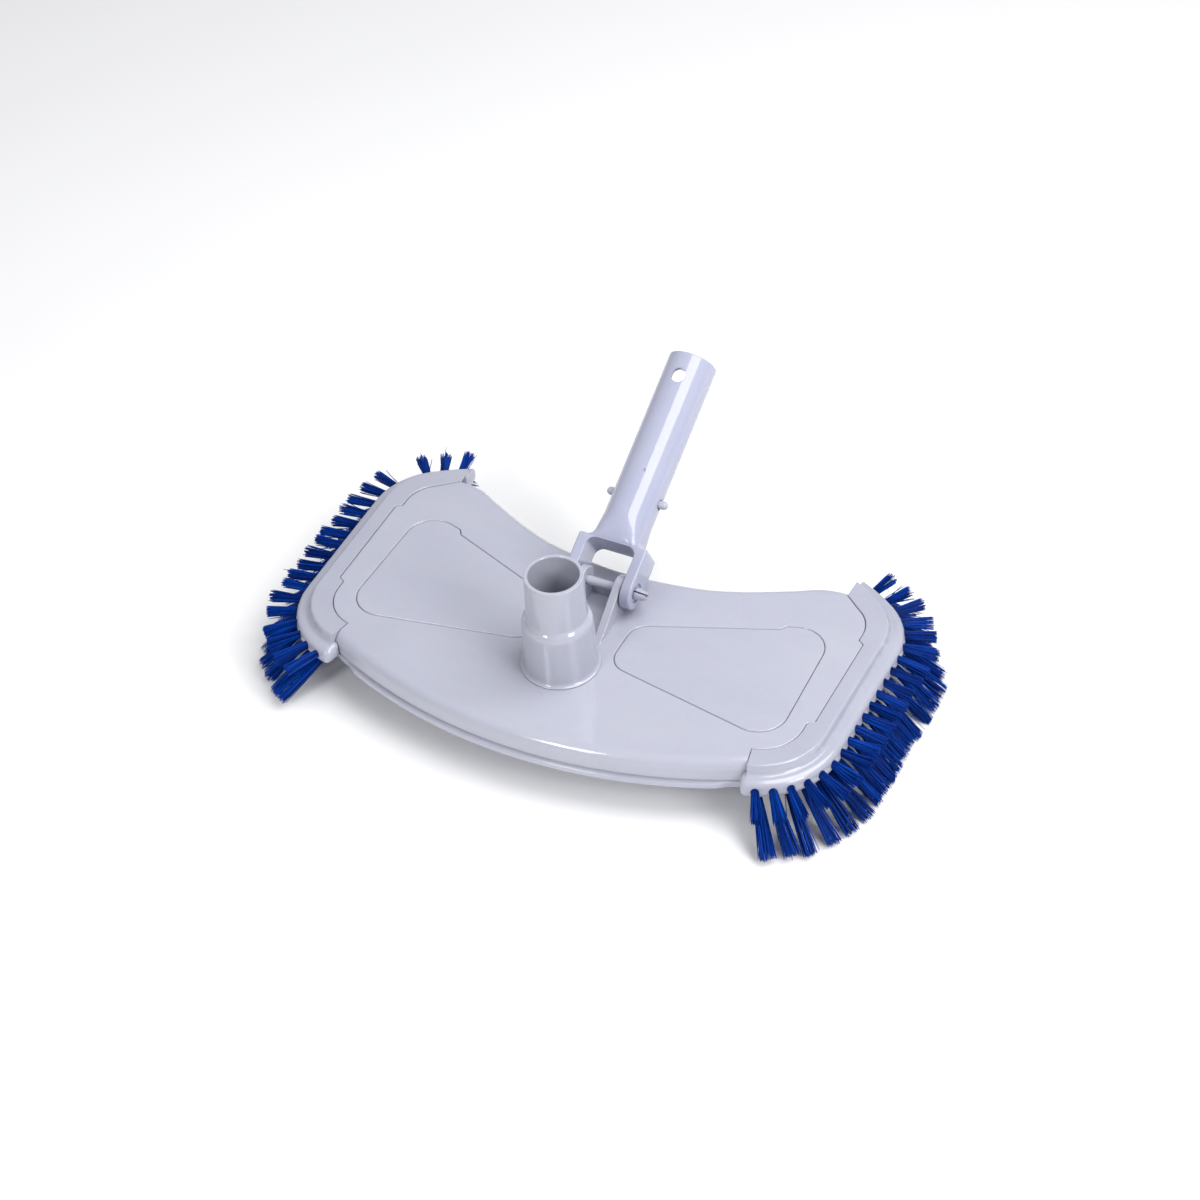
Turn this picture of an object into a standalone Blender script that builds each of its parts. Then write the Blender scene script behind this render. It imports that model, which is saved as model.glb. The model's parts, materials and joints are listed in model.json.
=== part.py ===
"""Weighted pool vacuum head with side brushes, a hose spigot and a tilting pole handle.

Frame: floor at z = 0, X across the head, Y from the front lip to the handle, Z up.
Shapes are written about the hose port axis with z = 0 on the deck, then shifted by ORIGIN.
"""
import math

import bmesh
import bpy
from mathutils import Matrix, Vector

# Placement -------------------------------------------------------------------
DECK_HEIGHT = 0.0415          # deck above the floor, set by the lower bristles
PORT_Y = -0.0611              # port axis behind the middle of the whole head
ORIGIN = Vector((0.0, PORT_Y, DECK_HEIGHT))
GAP = 0.0003                  # clearance between pieces that touch

# Body shell ------------------------------------------------------------------
FRONT_RADIUS = 0.286          # front edge arc
FRONT_Y = -0.0587
REAR_EDGE = ((0.0, 0.0808), (0.040, 0.0849), (0.065, 0.0921), (0.091, 0.1038),
             (0.106, 0.1114), (0.118, 0.1137))
BODY_DEPTH = 0.018            # deck to the bottom of the lip
SHOULDER = 0.006
DECK_THICKNESS = 0.0035
WALL = 0.005
END_WALL = 0.011              # solid ledge that the brush arms screw to
REBATE_DEPTH = 0.004          # the arms' top flange drops into this step

# Brush arms ------------------------------------------------------------------
FRONT_PIVOT = (0.1183, 0.0045)
FRONT_WALL = 0.0455           # outer wall radius about FRONT_PIVOT
REAR_PIVOT = (0.1218, 0.0840)
REAR_WALL = 0.0420
ARM_TO_BODY = 0.0115          # outer wall to the body edge beneath the flange
SEAM_STRAIGHT = 0.0178        # outer wall to the seam along the straight side
SEAM_FRONT = 0.0213           # and round the two corners
SEAM_REAR = 0.0212
REAR_FLARE = 0.0048           # the rear corner opens out towards its end
ARM_ANGLES = (-78.0, 88.0)
ARM_BOTTOM = -0.0150

# Bristles --------------------------------------------------------------------
UPPER_BRISTLE_LENGTH = 0.0215
LOWER_BRISTLE_SPREAD = 0.0235

# Hose spigot -----------------------------------------------------------------
SPIGOT_HEIGHT = 0.065
RIM_RADIUS = 0.01625
RIM_BORE = 0.0139
SHOULDER_HEIGHT = 0.0350
DOWN_TUBE_RADIUS = 0.0183

# Hinge ears and pin ----------------------------------------------------------
PIN_Y, PIN_Z = 0.0527, 0.0131
PIN_RADIUS = 0.0025
PIN_HOLE = 0.0028
EAR_INNER, EAR_OUTER = 0.0091, 0.0137
EAR_RADIUS = 0.0077
EAR_FRONT, EAR_REAR = 0.0208, 0.0605

# Handle, in its own frame: pin at the origin, axis along +Z, front face to -Y ---
HANDLE_ANGLE = 27.6           # axis above the deck at rest
TUBE_RADIUS = 0.0141
TUBE_BORE = 0.0115
TUBE_END = 0.1390
TUBE_FLOOR = 0.0350
YOKE_HALF_WIDTH = 0.0210
YOKE_GAP = 0.0147
YOKE_HALF_DEPTH = 0.0098
CROTCH = 0.0220
POLE_HOLE_S, POLE_HOLE_RADIUS = 0.1245, 0.0042
POLE_SLOT = ((-0.0128, 0.1185), (0.0128, 0.1365))   # wider window in the back wall
BUTTON_S, BUTTON_RADIUS, BUTTON_TIP = 0.0530, 0.0024, 0.0187
BUTTON_HOLE = 0.0031
BUTTON_SWING = 0.0003         # the pressed button tips towards the yoke
CLIP_HINGE_S, CLIP_HINGE_X = 0.0880, 0.0097

# Weights and covers ------------------------------------------------------------
COVER_CORNERS = ((0.0244, 0.0090, 0.012), (0.1315, -0.0106, 0.016),
                 (0.1280, 0.0810, 0.016), (0.0244, 0.0414, 0.012))
COVER_THICKNESS = 0.0018
COVER_RECESS = 0.0021
WEIGHT_BOTTOM, WEIGHT_TOP = -0.0147, -0.0057

# Underside ---------------------------------------------------------------------
PLATE_BOTTOM, PLATE_TOP = -0.0170, -0.0150
BOSSES = ((0.030, -0.042), (0.100, -0.024), (0.060, 0.072))
BOSS_RADIUS = 0.0042
SCREW_RADIUS, SCREW_HEAD = 0.0015, 0.0028
ARM_SCREWS = ((FRONT_PIVOT, 0.0292, -40.0), (REAR_PIVOT, 0.0258, 45.0))

MATERIALS = {
    "shell_plastic": ((0.60, 0.61, 0.72, 1.0), 0.0, 0.30),
    "cover_plastic": ((0.60, 0.61, 0.72, 1.0), 0.0, 0.32),
    "arm_plastic": ((0.61, 0.62, 0.73, 1.0), 0.0, 0.30),
    "spigot_plastic": ((0.61, 0.62, 0.73, 1.0), 0.0, 0.28),
    "handle_plastic": ((0.56, 0.58, 0.72, 1.0), 0.0, 0.28),
    "pin_plastic": ((0.62, 0.63, 0.72, 1.0), 0.0, 0.35),
    "clip_plastic": ((0.60, 0.60, 0.68, 1.0), 0.0, 0.35),
    "plate_plastic": ((0.58, 0.59, 0.70, 1.0), 0.0, 0.45),
    "blue_bristle": ((0.004, 0.030, 0.33, 1.0), 0.0, 0.45),
    "weight_iron": ((0.12, 0.12, 0.13, 1.0), 0.6, 0.6),
    "screw_steel": ((0.62, 0.62, 0.64, 1.0), 1.0, 0.3),
}


# Mesh helpers --------------------------------------------------------------------
def material(name):
    """Return the named Principled material, made on first use."""
    found = bpy.data.materials.get(name)
    if found:
        return found
    color, metallic, roughness = MATERIALS[name]
    made = bpy.data.materials.new(name)
    made.use_nodes = True
    shader = made.node_tree.nodes["Principled BSDF"]
    shader.inputs["Base Color"].default_value = color
    shader.inputs["Metallic"].default_value = metallic
    shader.inputs["Roughness"].default_value = roughness
    return made


def loft(rings):
    """Skin equal-length rings into one closed shell: (vertices, faces)."""
    count = len(rings[0])
    vertices = [Vector(point) for ring in rings for point in ring]
    faces = [tuple(reversed(range(count)))]
    for level in range(len(rings) - 1):
        for i in range(count):
            a, b = level * count + i, level * count + (i + 1) % count
            faces.append((a, b, b + count, a + count))
    faces.append(tuple(range((len(rings) - 1) * count, len(rings) * count)))
    return vertices, faces


def prism(outline, low, high):
    """Extrude an (x, y) outline between two heights."""
    return loft([[(x, y, z) for x, y in outline] for z in (low, high)])


def lathe(profile, segments=40, phase=0.0):
    """Turn a closed (radius, z) profile about Z; radius 0 closes to a point."""
    vertices, faces, rows = [], [], []
    for radius, z in profile:
        if radius == 0.0:
            vertices.append(Vector((0.0, 0.0, z)))
            rows.append([len(vertices) - 1] * segments)
            continue
        rows.append(list(range(len(vertices), len(vertices) + segments)))
        for i in range(segments):
            angle = 2.0 * math.pi * (i + phase) / segments
            vertices.append(Vector((radius * math.cos(angle), radius * math.sin(angle), z)))
    for k, row in enumerate(rows):
        nxt = rows[(k + 1) % len(rows)]
        if row[0] == row[-1] and nxt[0] == nxt[-1]:
            continue
        for i in range(segments):
            j = (i + 1) % segments
            corner = []
            for v in (row[i], row[j], nxt[j], nxt[i]):
                if v not in corner:
                    corner.append(v)
            faces.append(tuple(corner))
    return vertices, faces


def cylinder(radius, low, high, segments=24, phase=0.4):
    """Closed cylinder along Z, turned off the facets of whatever it cuts."""
    return lathe([(0.0, low), (radius, low), (radius, high), (0.0, high)], segments, phase)


def moved(shape, matrix):
    """Copy a shape through a matrix."""
    vertices, faces = shape
    return [matrix @ v for v in vertices], faces


def along_x(shape):
    """Turn a shape's Z axis onto +X."""
    return moved(shape, Matrix.Rotation(math.radians(90.0), 4, "Y"))


def mirrored(shape):
    """Mirror a shape across x = 0."""
    vertices, faces = shape
    return [Vector((-v.x, v.y, v.z)) for v in vertices], faces


def merged(*shapes):
    """Gather separate closed shapes into one mesh."""
    vertices, faces = [], []
    for shape_vertices, shape_faces in shapes:
        base = len(vertices)
        vertices += shape_vertices
        faces += [tuple(base + i for i in face) for face in shape_faces]
    return vertices, faces


def add(name, shape, material_name, smooth=35.0):
    """Link a shape into the scene in world coordinates."""
    vertices, faces = shape
    mesh = bpy.data.meshes.new(name)
    mesh.from_pydata([v + ORIGIN for v in vertices], [], faces)
    working = bmesh.new()
    working.from_mesh(mesh)
    bmesh.ops.recalc_face_normals(working, faces=working.faces)
    caps = [face for face in working.faces if len(face.verts) > 4]
    bmesh.ops.triangulate(working, faces=caps)
    working.to_mesh(mesh)
    working.free()
    mesh.materials.append(material(material_name))
    for polygon in mesh.polygons:
        polygon.use_smooth = True
    mesh.set_sharp_from_angle(angle=math.radians(smooth))
    made = bpy.data.objects.new(name, mesh)
    bpy.context.scene.collection.objects.link(made)
    return made


def combine(target, operation, name, shape):
    """Join a shape to a piece, or cut it away, with a live Boolean."""
    tool = add(name, shape, target.data.materials[0].name)
    tool.hide_render = True
    tool.display_type = "WIRE"
    modifier = target.modifiers.new(name, "BOOLEAN")
    modifier.operation = operation
    modifier.solver = "EXACT"
    modifier.object = tool


# Plan shapes -----------------------------------------------------------------------
def spline(points, steps):
    """Catmull-Rom curve through (x, y) points, with level ends."""
    ends = [(2 * points[0][0] - points[1][0], points[1][1])] + list(points)
    ends.append((2 * points[-1][0] - points[-2][0], points[-1][1]))
    curve = []
    for p0, p1, p2, p3 in zip(ends, ends[1:], ends[2:], ends[3:]):
        for k in range(steps):
            t = k / steps
            curve.append(tuple(
                0.5 * (2 * b + (c - a) * t + (2 * a - 5 * b + 4 * c - d) * t * t
                       + (3 * b - a - 3 * c + d) * t ** 3)
                for a, b, c, d in zip(p0, p1, p2, p3)))
    curve.append(points[-1])
    return curve


def arc(centre, radius, start, stop, steps):
    """Points on a circle between two angles in degrees."""
    span = [math.radians(start + (stop - start) * k / steps) for k in range(steps + 1)]
    return [(centre[0] + radius * math.cos(a), centre[1] + radius * math.sin(a)) for a in span]


def rounded(corners, steps=6):
    """Polygon from (x, y, corner radius) triples, counter-clockwise."""
    outline = []
    count = len(corners)
    for i, (x, y, radius) in enumerate(corners):
        here = Vector((x, y))
        back = (Vector(corners[i - 1][:2]) - here).normalized()
        ahead = (Vector(corners[(i + 1) % count][:2]) - here).normalized()
        half = back.angle(ahead) / 2.0
        if radius <= 0.0:
            outline.append((x, y))
            continue
        centre = here + (back + ahead).normalized() * (radius / math.sin(half))
        first = here + back * (radius / math.tan(half)) - centre
        last = here + ahead * (radius / math.tan(half)) - centre
        turn = first.angle_signed(last)
        for k in range(steps + 1):
            swing = Matrix.Rotation(-turn * k / steps, 2)
            outline.append(tuple(centre + swing @ first))
    return outline


def half_outline():
    """Right half of the body edge, front middle to rear middle, with end weights."""
    points = []
    for k in range(13):
        x = 0.128 * k / 12
        sag = FRONT_RADIUS - math.sqrt(FRONT_RADIUS ** 2 - x * x)
        points.append((x, FRONT_Y + sag))
    points += arc(FRONT_PIVOT, FRONT_WALL - ARM_TO_BODY, -55.0, 0.0, 6)
    points += arc(REAR_PIVOT, REAR_WALL - ARM_TO_BODY, 0.0, 55.0, 6)
    points.append((0.127, 0.1138))
    points += list(reversed(spline(REAR_EDGE, 3)))
    weights = [min(1.0, max(0.0, (x - 0.110) / 0.006)) for x, _ in points]
    return points, weights


def body_outline(free_inset, end_inset):
    """Whole body edge moved inward, by one amount where free and another at the ends."""
    right, weights = half_outline()
    left = [(-x, y) for x, y in reversed(right[1:-1])]
    points = right + left
    weights = weights + list(reversed(weights[1:-1]))
    moved_points = []
    for i, (x, y) in enumerate(points):
        before, after = Vector(points[i - 1]), Vector(points[(i + 1) % len(points)])
        along = (after - before).normalized()
        inset = free_inset + (end_inset - free_inset) * weights[i]
        moved_points.append((x - along.y * inset, y + along.x * inset))
    return moved_points


def arm_stations(extra=0.0):
    """Right arm path: (pivot, wall radius, angle, seam inset) from front to rear."""
    stations = []
    first, last = ARM_ANGLES[0] - extra, ARM_ANGLES[1] + extra
    for k in range(9):
        angle = first * (1.0 - k / 8)
        stations.append((FRONT_PIVOT, FRONT_WALL, angle, SEAM_FRONT))
    for pivot, wall, y, seam in (
            (FRONT_PIVOT, FRONT_WALL, 0.0095, SEAM_FRONT),
            (FRONT_PIVOT, FRONT_WALL, 0.0125, SEAM_STRAIGHT),
            (REAR_PIVOT, REAR_WALL, 0.0765, SEAM_STRAIGHT),
            (REAR_PIVOT, REAR_WALL, 0.0795, SEAM_REAR)):
        stations.append(((pivot[0], y), wall, 0.0, seam))
    for k in range(9):
        angle = last * k / 8
        flare = REAR_FLARE * max(0.0, (angle - 55.0) / 33.0) ** 2
        stations.append((REAR_PIVOT, REAR_WALL + flare, angle, SEAM_REAR))
    return stations


def arm_point(station, inset, z):
    """Point at an inset from the arm's outer wall, at one station."""
    (x, y), wall, angle, _ = station
    reach = wall - inset
    turn = math.radians(angle)
    return (x + reach * math.cos(turn), y + reach * math.sin(turn), z)


def cover_outline(grow):
    """Weight cover outline, with the small step in its rear edge."""
    (x0, y0, r0), (x1, y1, r1), (x2, y2, r2), (x3, y3, r3) = COVER_CORNERS
    slope = (y2 - y3) / (x2 - x3)
    step_x = 0.0995
    step_y = y3 + slope * (step_x - x3)
    corners = ((x0, y0, r0), (x1, y1, r1), (x2, y2 + 0.001, r2),
               (step_x + 0.0025, step_y + 0.0036, 0.001), (step_x, step_y, 0.001), (x3, y3, r3))
    outline = rounded(corners, 5)
    count = len(outline)
    grown = []
    for i, (x, y) in enumerate(outline):
        along = Vector(outline[(i + 1) % count]) - Vector(outline[i - 1])
        along.normalize()
        grown.append((x + along.y * grow, y - along.x * grow))
    return grown


# Pieces ----------------------------------------------------------------------------
def both_sides(shape):
    """A right-hand shape and its mirror image in one mesh."""
    return merged(shape, mirrored(shape))


def build_body():
    """Deck, rounded shoulder, skirt and lip, with the hinge ears moulded on."""
    profile = [(SHOULDER * (1.0 - math.sin(math.radians(a))),
                -SHOULDER * (1.0 - math.cos(math.radians(a)))) for a in (0, 30, 60, 90)]
    profile += [(0.0, -0.0126), (0.0007, -0.0130), (0.0007, -0.0137)]
    lip = [(-0.0014, -0.0141), (-0.0018, -0.0147), (-0.0018, -0.0170), (-0.0008, -BODY_DEPTH)]
    rings = [[(x, y, z) for x, y in body_outline(inset, inset)] for inset, z in profile]
    rings += [[(x, y, z) for x, y in body_outline(inset, 0.0)] for inset, z in lip]
    rings.reverse()
    body = add("body_shell", loft(rings), "shell_plastic")

    cavity = prism(body_outline(WALL, END_WALL), -BODY_DEPTH - 0.002, -DECK_THICKNESS)
    combine(body, "DIFFERENCE", "cut_cavity", cavity)

    bosses = [moved(cylinder(BOSS_RADIUS, PLATE_TOP + GAP, -DECK_THICKNESS + 0.0005, 16, 0.0),
                    Matrix.Translation((x, y, 0.0))) for x, y in BOSSES]
    combine(body, "UNION", "screw_bosses", both_sides(merged(*bosses)))
    combine(body, "UNION", "hinge_ears", both_sides(ear_shape()))
    web = prism([(-EAR_INNER - 0.001, 0.0568), (EAR_INNER + 0.001, 0.0568),
                 (EAR_INNER + 0.001, EAR_REAR), (-EAR_INNER - 0.001, EAR_REAR)], -0.001, 0.0080)
    combine(body, "UNION", "ear_web", web)

    pilots = [moved(cylinder(SCREW_RADIUS + GAP, -BODY_DEPTH, -DECK_THICKNESS - 0.001, 12),
                    Matrix.Translation((x, y, 0.0))) for x, y in BOSSES]
    for pivot, radius, angle in ARM_SCREWS:
        x, y, _ = arm_point((pivot, radius, angle, 0.0), 0.0, 0.0)
        at = Matrix.Translation((x, y, 0.0))
        pilots.append(moved(lathe([(0.0, -BODY_DEPTH - 0.001), (SCREW_HEAD + GAP, -BODY_DEPTH - 0.001),
                                   (SCREW_HEAD + GAP, -0.0149), (SCREW_RADIUS + GAP, -0.0149),
                                   (SCREW_RADIUS + GAP, 0.0), (0.0, 0.0)], 12, 0.4), at))
    combine(body, "DIFFERENCE", "cut_screw_holes", both_sides(merged(*pilots)))
    combine(body, "DIFFERENCE", "cut_port", cylinder(DOWN_TUBE_RADIUS + GAP, -0.010, 0.005, 48))
    recess = prism(cover_outline(GAP), -COVER_RECESS, 0.005)
    combine(body, "DIFFERENCE", "cut_cover_recess", both_sides(recess))
    seam = arm_stations(1.0)
    rebate = loft([[arm_point(s, s[3] + GAP, z) for s in seam]
                   + [arm_point(s, -0.01, z) for s in reversed(seam)]
                   for z in (-REBATE_DEPTH, 0.005)])
    combine(body, "DIFFERENCE", "cut_arm_rebate", both_sides(rebate))
    pin_hole = moved(along_x(cylinder(PIN_HOLE, -0.02, 0.02)), Matrix.Translation((0, PIN_Y, PIN_Z)))
    combine(body, "DIFFERENCE", "cut_pin_hole", pin_hole)


def ear_shape():
    """One triangular hinge ear with a round top, in its place beside the port."""
    reach = math.hypot(PIN_Y - EAR_FRONT, PIN_Z)
    lean = math.degrees(math.atan2(PIN_Z, PIN_Y - EAR_FRONT) + math.asin(EAR_RADIUS / reach))
    side = [(EAR_FRONT - 0.0016, -0.001), (EAR_REAR, -0.001), (EAR_REAR, PIN_Z)]
    side += arc((PIN_Y, PIN_Z), EAR_RADIUS, 8.0, 90.0 + lean, 12)
    ring = [[(x, y, z) for y, z in side] for x in (EAR_INNER, EAR_OUTER)]
    return loft(ring)


def build_spigot():
    """Stepped hose spigot with a down tube through the deck."""
    profile = [(RIM_BORE, SPIGOT_HEIGHT), (RIM_RADIUS - 0.0006, SPIGOT_HEIGHT),
               (RIM_RADIUS, SPIGOT_HEIGHT - 0.0008), (0.0170, SHOULDER_HEIGHT + 0.002),
               (0.0178, SHOULDER_HEIGHT + 0.0006), (0.0192, SHOULDER_HEIGHT - 0.002),
               (0.0196, SHOULDER_HEIGHT - 0.004), (0.0204, 0.0030), (0.0210, 0.0014),
               (0.0222, 0.0008), (0.0222, GAP), (DOWN_TUBE_RADIUS, GAP),
               (DOWN_TUBE_RADIUS, PLATE_BOTTOM), (0.0150, PLATE_BOTTOM),
               (0.0150, SHOULDER_HEIGHT - 0.004), (RIM_BORE, SHOULDER_HEIGHT)]
    add("hose_spigot", lathe(list(reversed(profile)), 44), "spigot_plastic")


def build_underside():
    """Base plate, its screws, the arm screws and the two ballast weights."""
    plate = add("base_plate", prism(body_outline(WALL + GAP, END_WALL + GAP), PLATE_BOTTOM, PLATE_TOP),
                "plate_plastic")
    holes = [cylinder(DOWN_TUBE_RADIUS + GAP, -0.02, -0.01, 44)]
    for x, y in BOSSES:
        for side in (-1.0, 1.0):
            holes.append(moved(cylinder(SCREW_RADIUS + GAP, -0.02, -0.01, 12),
                               Matrix.Translation((side * x, y, 0.0))))
    combine(plate, "DIFFERENCE", "cut_plate_holes", merged(*holes))

    names = ("front", "outer", "rear")
    head = [(0.0, PLATE_BOTTOM - 0.0017), (SCREW_HEAD * 0.8, PLATE_BOTTOM - 0.0017),
            (SCREW_HEAD, PLATE_BOTTOM - 0.0012), (SCREW_HEAD, PLATE_BOTTOM - GAP),
            (SCREW_RADIUS, PLATE_BOTTOM - GAP), (SCREW_RADIUS, -0.0060), (0.0, -0.0055)]
    for label, (x, y) in zip(names, BOSSES):
        for side, sign in (("left", -1.0), ("right", 1.0)):
            screw = moved(lathe(head, 12), Matrix.Translation((sign * x, y, 0.0)))
            add(f"plate_screw_{label}_{side}", screw, "screw_steel")

    arm_head = [(0.0, -0.0172), (SCREW_HEAD * 0.8, -0.0172), (SCREW_HEAD, -0.0167),
                (SCREW_HEAD, -0.0152), (SCREW_RADIUS, -0.0152), (SCREW_RADIUS, -0.0013),
                (0.0, -0.0011)]
    for label, (pivot, radius, angle) in zip(("front", "rear"), ARM_SCREWS):
        x, y, _ = arm_point((pivot, radius, angle, 0.0), 0.0, 0.0)
        for side, sign in (("left", -1.0), ("right", 1.0)):
            screw = moved(lathe(arm_head, 12), Matrix.Translation((sign * x, y, 0.0)))
            add(f"arm_screw_{label}_{side}", screw, "screw_steel")

    weight = prism(cover_outline(-0.004), WEIGHT_BOTTOM, WEIGHT_TOP)
    cover = loft([[(x, y, z) for x, y in cover_outline(grow)]
                  for grow, z in ((0.0, -COVER_THICKNESS), (0.0, -0.0004), (-0.0004, 0.0))])
    for side, turn in (("left", mirrored), ("right", lambda shape: shape)):
        add(f"ballast_weight_{side}", turn(weight), "weight_iron")
        add(f"weight_cover_{side}", turn(cover), "cover_plastic")


def arm_section(station):
    """Arm profile at one station: flange, ledge, bristle block and inner face."""
    seam = station[3]
    profile = ((seam, 0.0003), (0.0096, 0.0003), (0.0088, -0.0002), (0.0078, -0.0030),
               (0.0070, -0.0048), (0.0058, -0.0052), (0.0034, -0.0054), (0.0012, -0.0064),
               (0.0000, -0.0084), (-0.0004, -0.0122), (0.0004, -0.0140), (0.0024, ARM_BOTTOM),
               (ARM_TO_BODY - GAP, ARM_BOTTOM), (ARM_TO_BODY - GAP, GAP - REBATE_DEPTH),
               (seam, GAP - REBATE_DEPTH))
    return [arm_point(station, inset, z) for inset, z in profile]


def build_arms():
    """C-shaped brush arms that wrap the ends of the body, with their bristle rows."""
    arm = loft([arm_section(station) for station in arm_stations()])
    clearance = prism(body_outline(-GAP, -GAP), -0.03, GAP - REBATE_DEPTH)
    holes = []
    for pivot, radius, angle in ARM_SCREWS:
        x, y, _ = arm_point((pivot, radius, angle, 0.0), 0.0, 0.0)
        holes.append(moved(cylinder(SCREW_RADIUS + GAP, -0.006, -0.0008, 12),
                           Matrix.Translation((x, y, 0.0))))
    inner = arm_stations()[1:-1]
    upper = loft([[arm_point(s, inset, z) for inset, z in
                   ((-0.0008, -0.0086), (-0.0120, -0.0090), (-UPPER_BRISTLE_LENGTH, -0.0090),
                    (-UPPER_BRISTLE_LENGTH, -0.0170), (-0.0120, -0.0155), (-0.0008, -0.0130))]
                  for s in inner])
    lower = loft([[arm_point(s, inset, z) for inset, z in
                   ((0.0030, ARM_BOTTOM - GAP), (-0.0100, -0.0265),
                    (-LOWER_BRISTLE_SPREAD, -DECK_HEIGHT), (-LOWER_BRISTLE_SPREAD + 0.0080, -DECK_HEIGHT),
                    (-0.0045, -0.0300), (0.0080, ARM_BOTTOM - GAP))]
                  for s in inner])
    for side, turn in (("left", mirrored), ("right", lambda shape: shape)):
        made = add(f"brush_arm_{side}", turn(arm), "arm_plastic")
        combine(made, "DIFFERENCE", f"cut_arm_seat_{side}", clearance)
        combine(made, "DIFFERENCE", f"cut_arm_screws_{side}", turn(merged(*holes)))
        add(f"bristles_upper_{side}", turn(upper), "blue_bristle")
        add(f"bristles_lower_{side}", turn(lower), "blue_bristle")


def handle_matrix():
    """Handle frame to port frame."""
    lean = Matrix.Rotation(math.radians(HANDLE_ANGLE - 90.0), 4, "X")
    return Matrix.Translation((0.0, PIN_Y, PIN_Z)) @ lean


def across_x(outline, half_depth):
    """Extrude an (x, s) outline through the handle's depth."""
    return loft([[(x, y, s) for x, s in outline] for y in (half_depth, -half_depth)])


def build_handle():
    """Tube and yoke, with the snap clip inside and the pivot pin through the prongs."""
    place = handle_matrix()
    fork = [(YOKE_GAP, -0.012, 0), (YOKE_HALF_WIDTH, -0.012, 0), (YOKE_HALF_WIDTH, 0.0218, 0.002),
            (0.0145, 0.0243, 0.001), (0.0100, 0.0330, 0), (-0.0100, 0.0330, 0),
            (-0.0145, 0.0243, 0.001), (-YOKE_HALF_WIDTH, 0.0218, 0.002),
            (-YOKE_HALF_WIDTH, -0.012, 0), (-YOKE_GAP, -0.012, 0), (-YOKE_GAP, CROTCH, 0.005),
            (YOKE_GAP, CROTCH, 0.005)]
    handle = add("handle", moved(across_x(rounded(fork, 4), 0.012), place), "handle_plastic")

    depth = YOKE_HALF_DEPTH
    side = [(depth, 0.0), (depth, 0.0270), (depth - 0.0006, 0.040), (0.0006 - depth, 0.040),
            (-depth, 0.0270), (-depth, 0.0)]
    side += arc((0.0, 0.0), depth, 195.0, 345.0, 10)
    slab = loft([[(x, y, s) for y, s in side] for x in (-0.03, 0.03)])
    combine(handle, "INTERSECT", "yoke_depth", moved(slab, place))

    tube = lathe([(0.0, CROTCH + 0.0004), (0.0105, CROTCH + 0.0004), (0.0126, 0.0250),
                  (TUBE_RADIUS - 0.0003, 0.0285), (TUBE_RADIUS, 0.0310),
                  (TUBE_RADIUS, TUBE_END - 0.0006), (TUBE_RADIUS - 0.0006, TUBE_END),
                  (0.0, TUBE_END)], 44)
    combine(handle, "UNION", "handle_tube", moved(tube, place))
    bore = cylinder(TUBE_BORE, TUBE_FLOOR, TUBE_END + 0.005, 44)
    combine(handle, "DIFFERENCE", "cut_bore", moved(bore, place))
    pole_hole = moved(cylinder(POLE_HOLE_RADIUS, 0.0, 0.02, 24),
                      Matrix.Translation((0, 0, POLE_HOLE_S)) @ Matrix.Rotation(math.pi / 2, 4, "X"))
    (left, low), (right, high) = POLE_SLOT
    slot = rounded([(left, low, 0.004), (right, low, 0.004), (right, high, 0.004), (left, high, 0.004)], 4)
    window = loft([[(x, y, s) for x, s in slot] for y in (0.0005, 0.02)])
    buttons = moved(along_x(cylinder(BUTTON_HOLE, -0.02, 0.02, 20)),
                    Matrix.Translation((0, 0, BUTTON_S - BUTTON_SWING)))
    combine(handle, "DIFFERENCE", "cut_button_holes", moved(buttons, place))
    combine(handle, "DIFFERENCE", "cut_pole_hole", moved(merged(pole_hole, window), place))
    seat = merged(along_x(cylinder(0.0056, YOKE_HALF_WIDTH - 0.001, 0.03, 28)),
                  along_x(cylinder(0.0056, -0.03, 0.001 - YOKE_HALF_WIDTH, 28)))
    combine(handle, "DIFFERENCE", "cut_pin_seats", moved(seat, place))
    combine(handle, "DIFFERENCE", "cut_pin_bore",
            moved(along_x(cylinder(PIN_HOLE, -0.025, 0.025)), place))

    seat_floor = YOKE_HALF_WIDTH - 0.001 + GAP
    pin = lathe([(0.0, -0.0229), (0.0040, -0.0229), (0.0046, -0.0223), (0.0046, -seat_floor),
                 (PIN_RADIUS, -seat_floor), (PIN_RADIUS, seat_floor), (0.0036, seat_floor + 0.0002),
                 (0.0036, 0.0219), (0.0022, 0.0274), (0.0, 0.0278)], 24)
    pivot = add("pivot_pin", moved(along_x(pin), place), "pin_plastic")
    slot = loft([[(x, y, z) for x, z in ((0.015, -0.0007), (0.03, -0.0007), (0.03, 0.0007),
                                         (0.015, 0.0007))] for y in (0.01, -0.01)])
    combine(pivot, "DIFFERENCE", "cut_pin_slot", moved(slot, place))
    build_clip(place)


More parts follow.
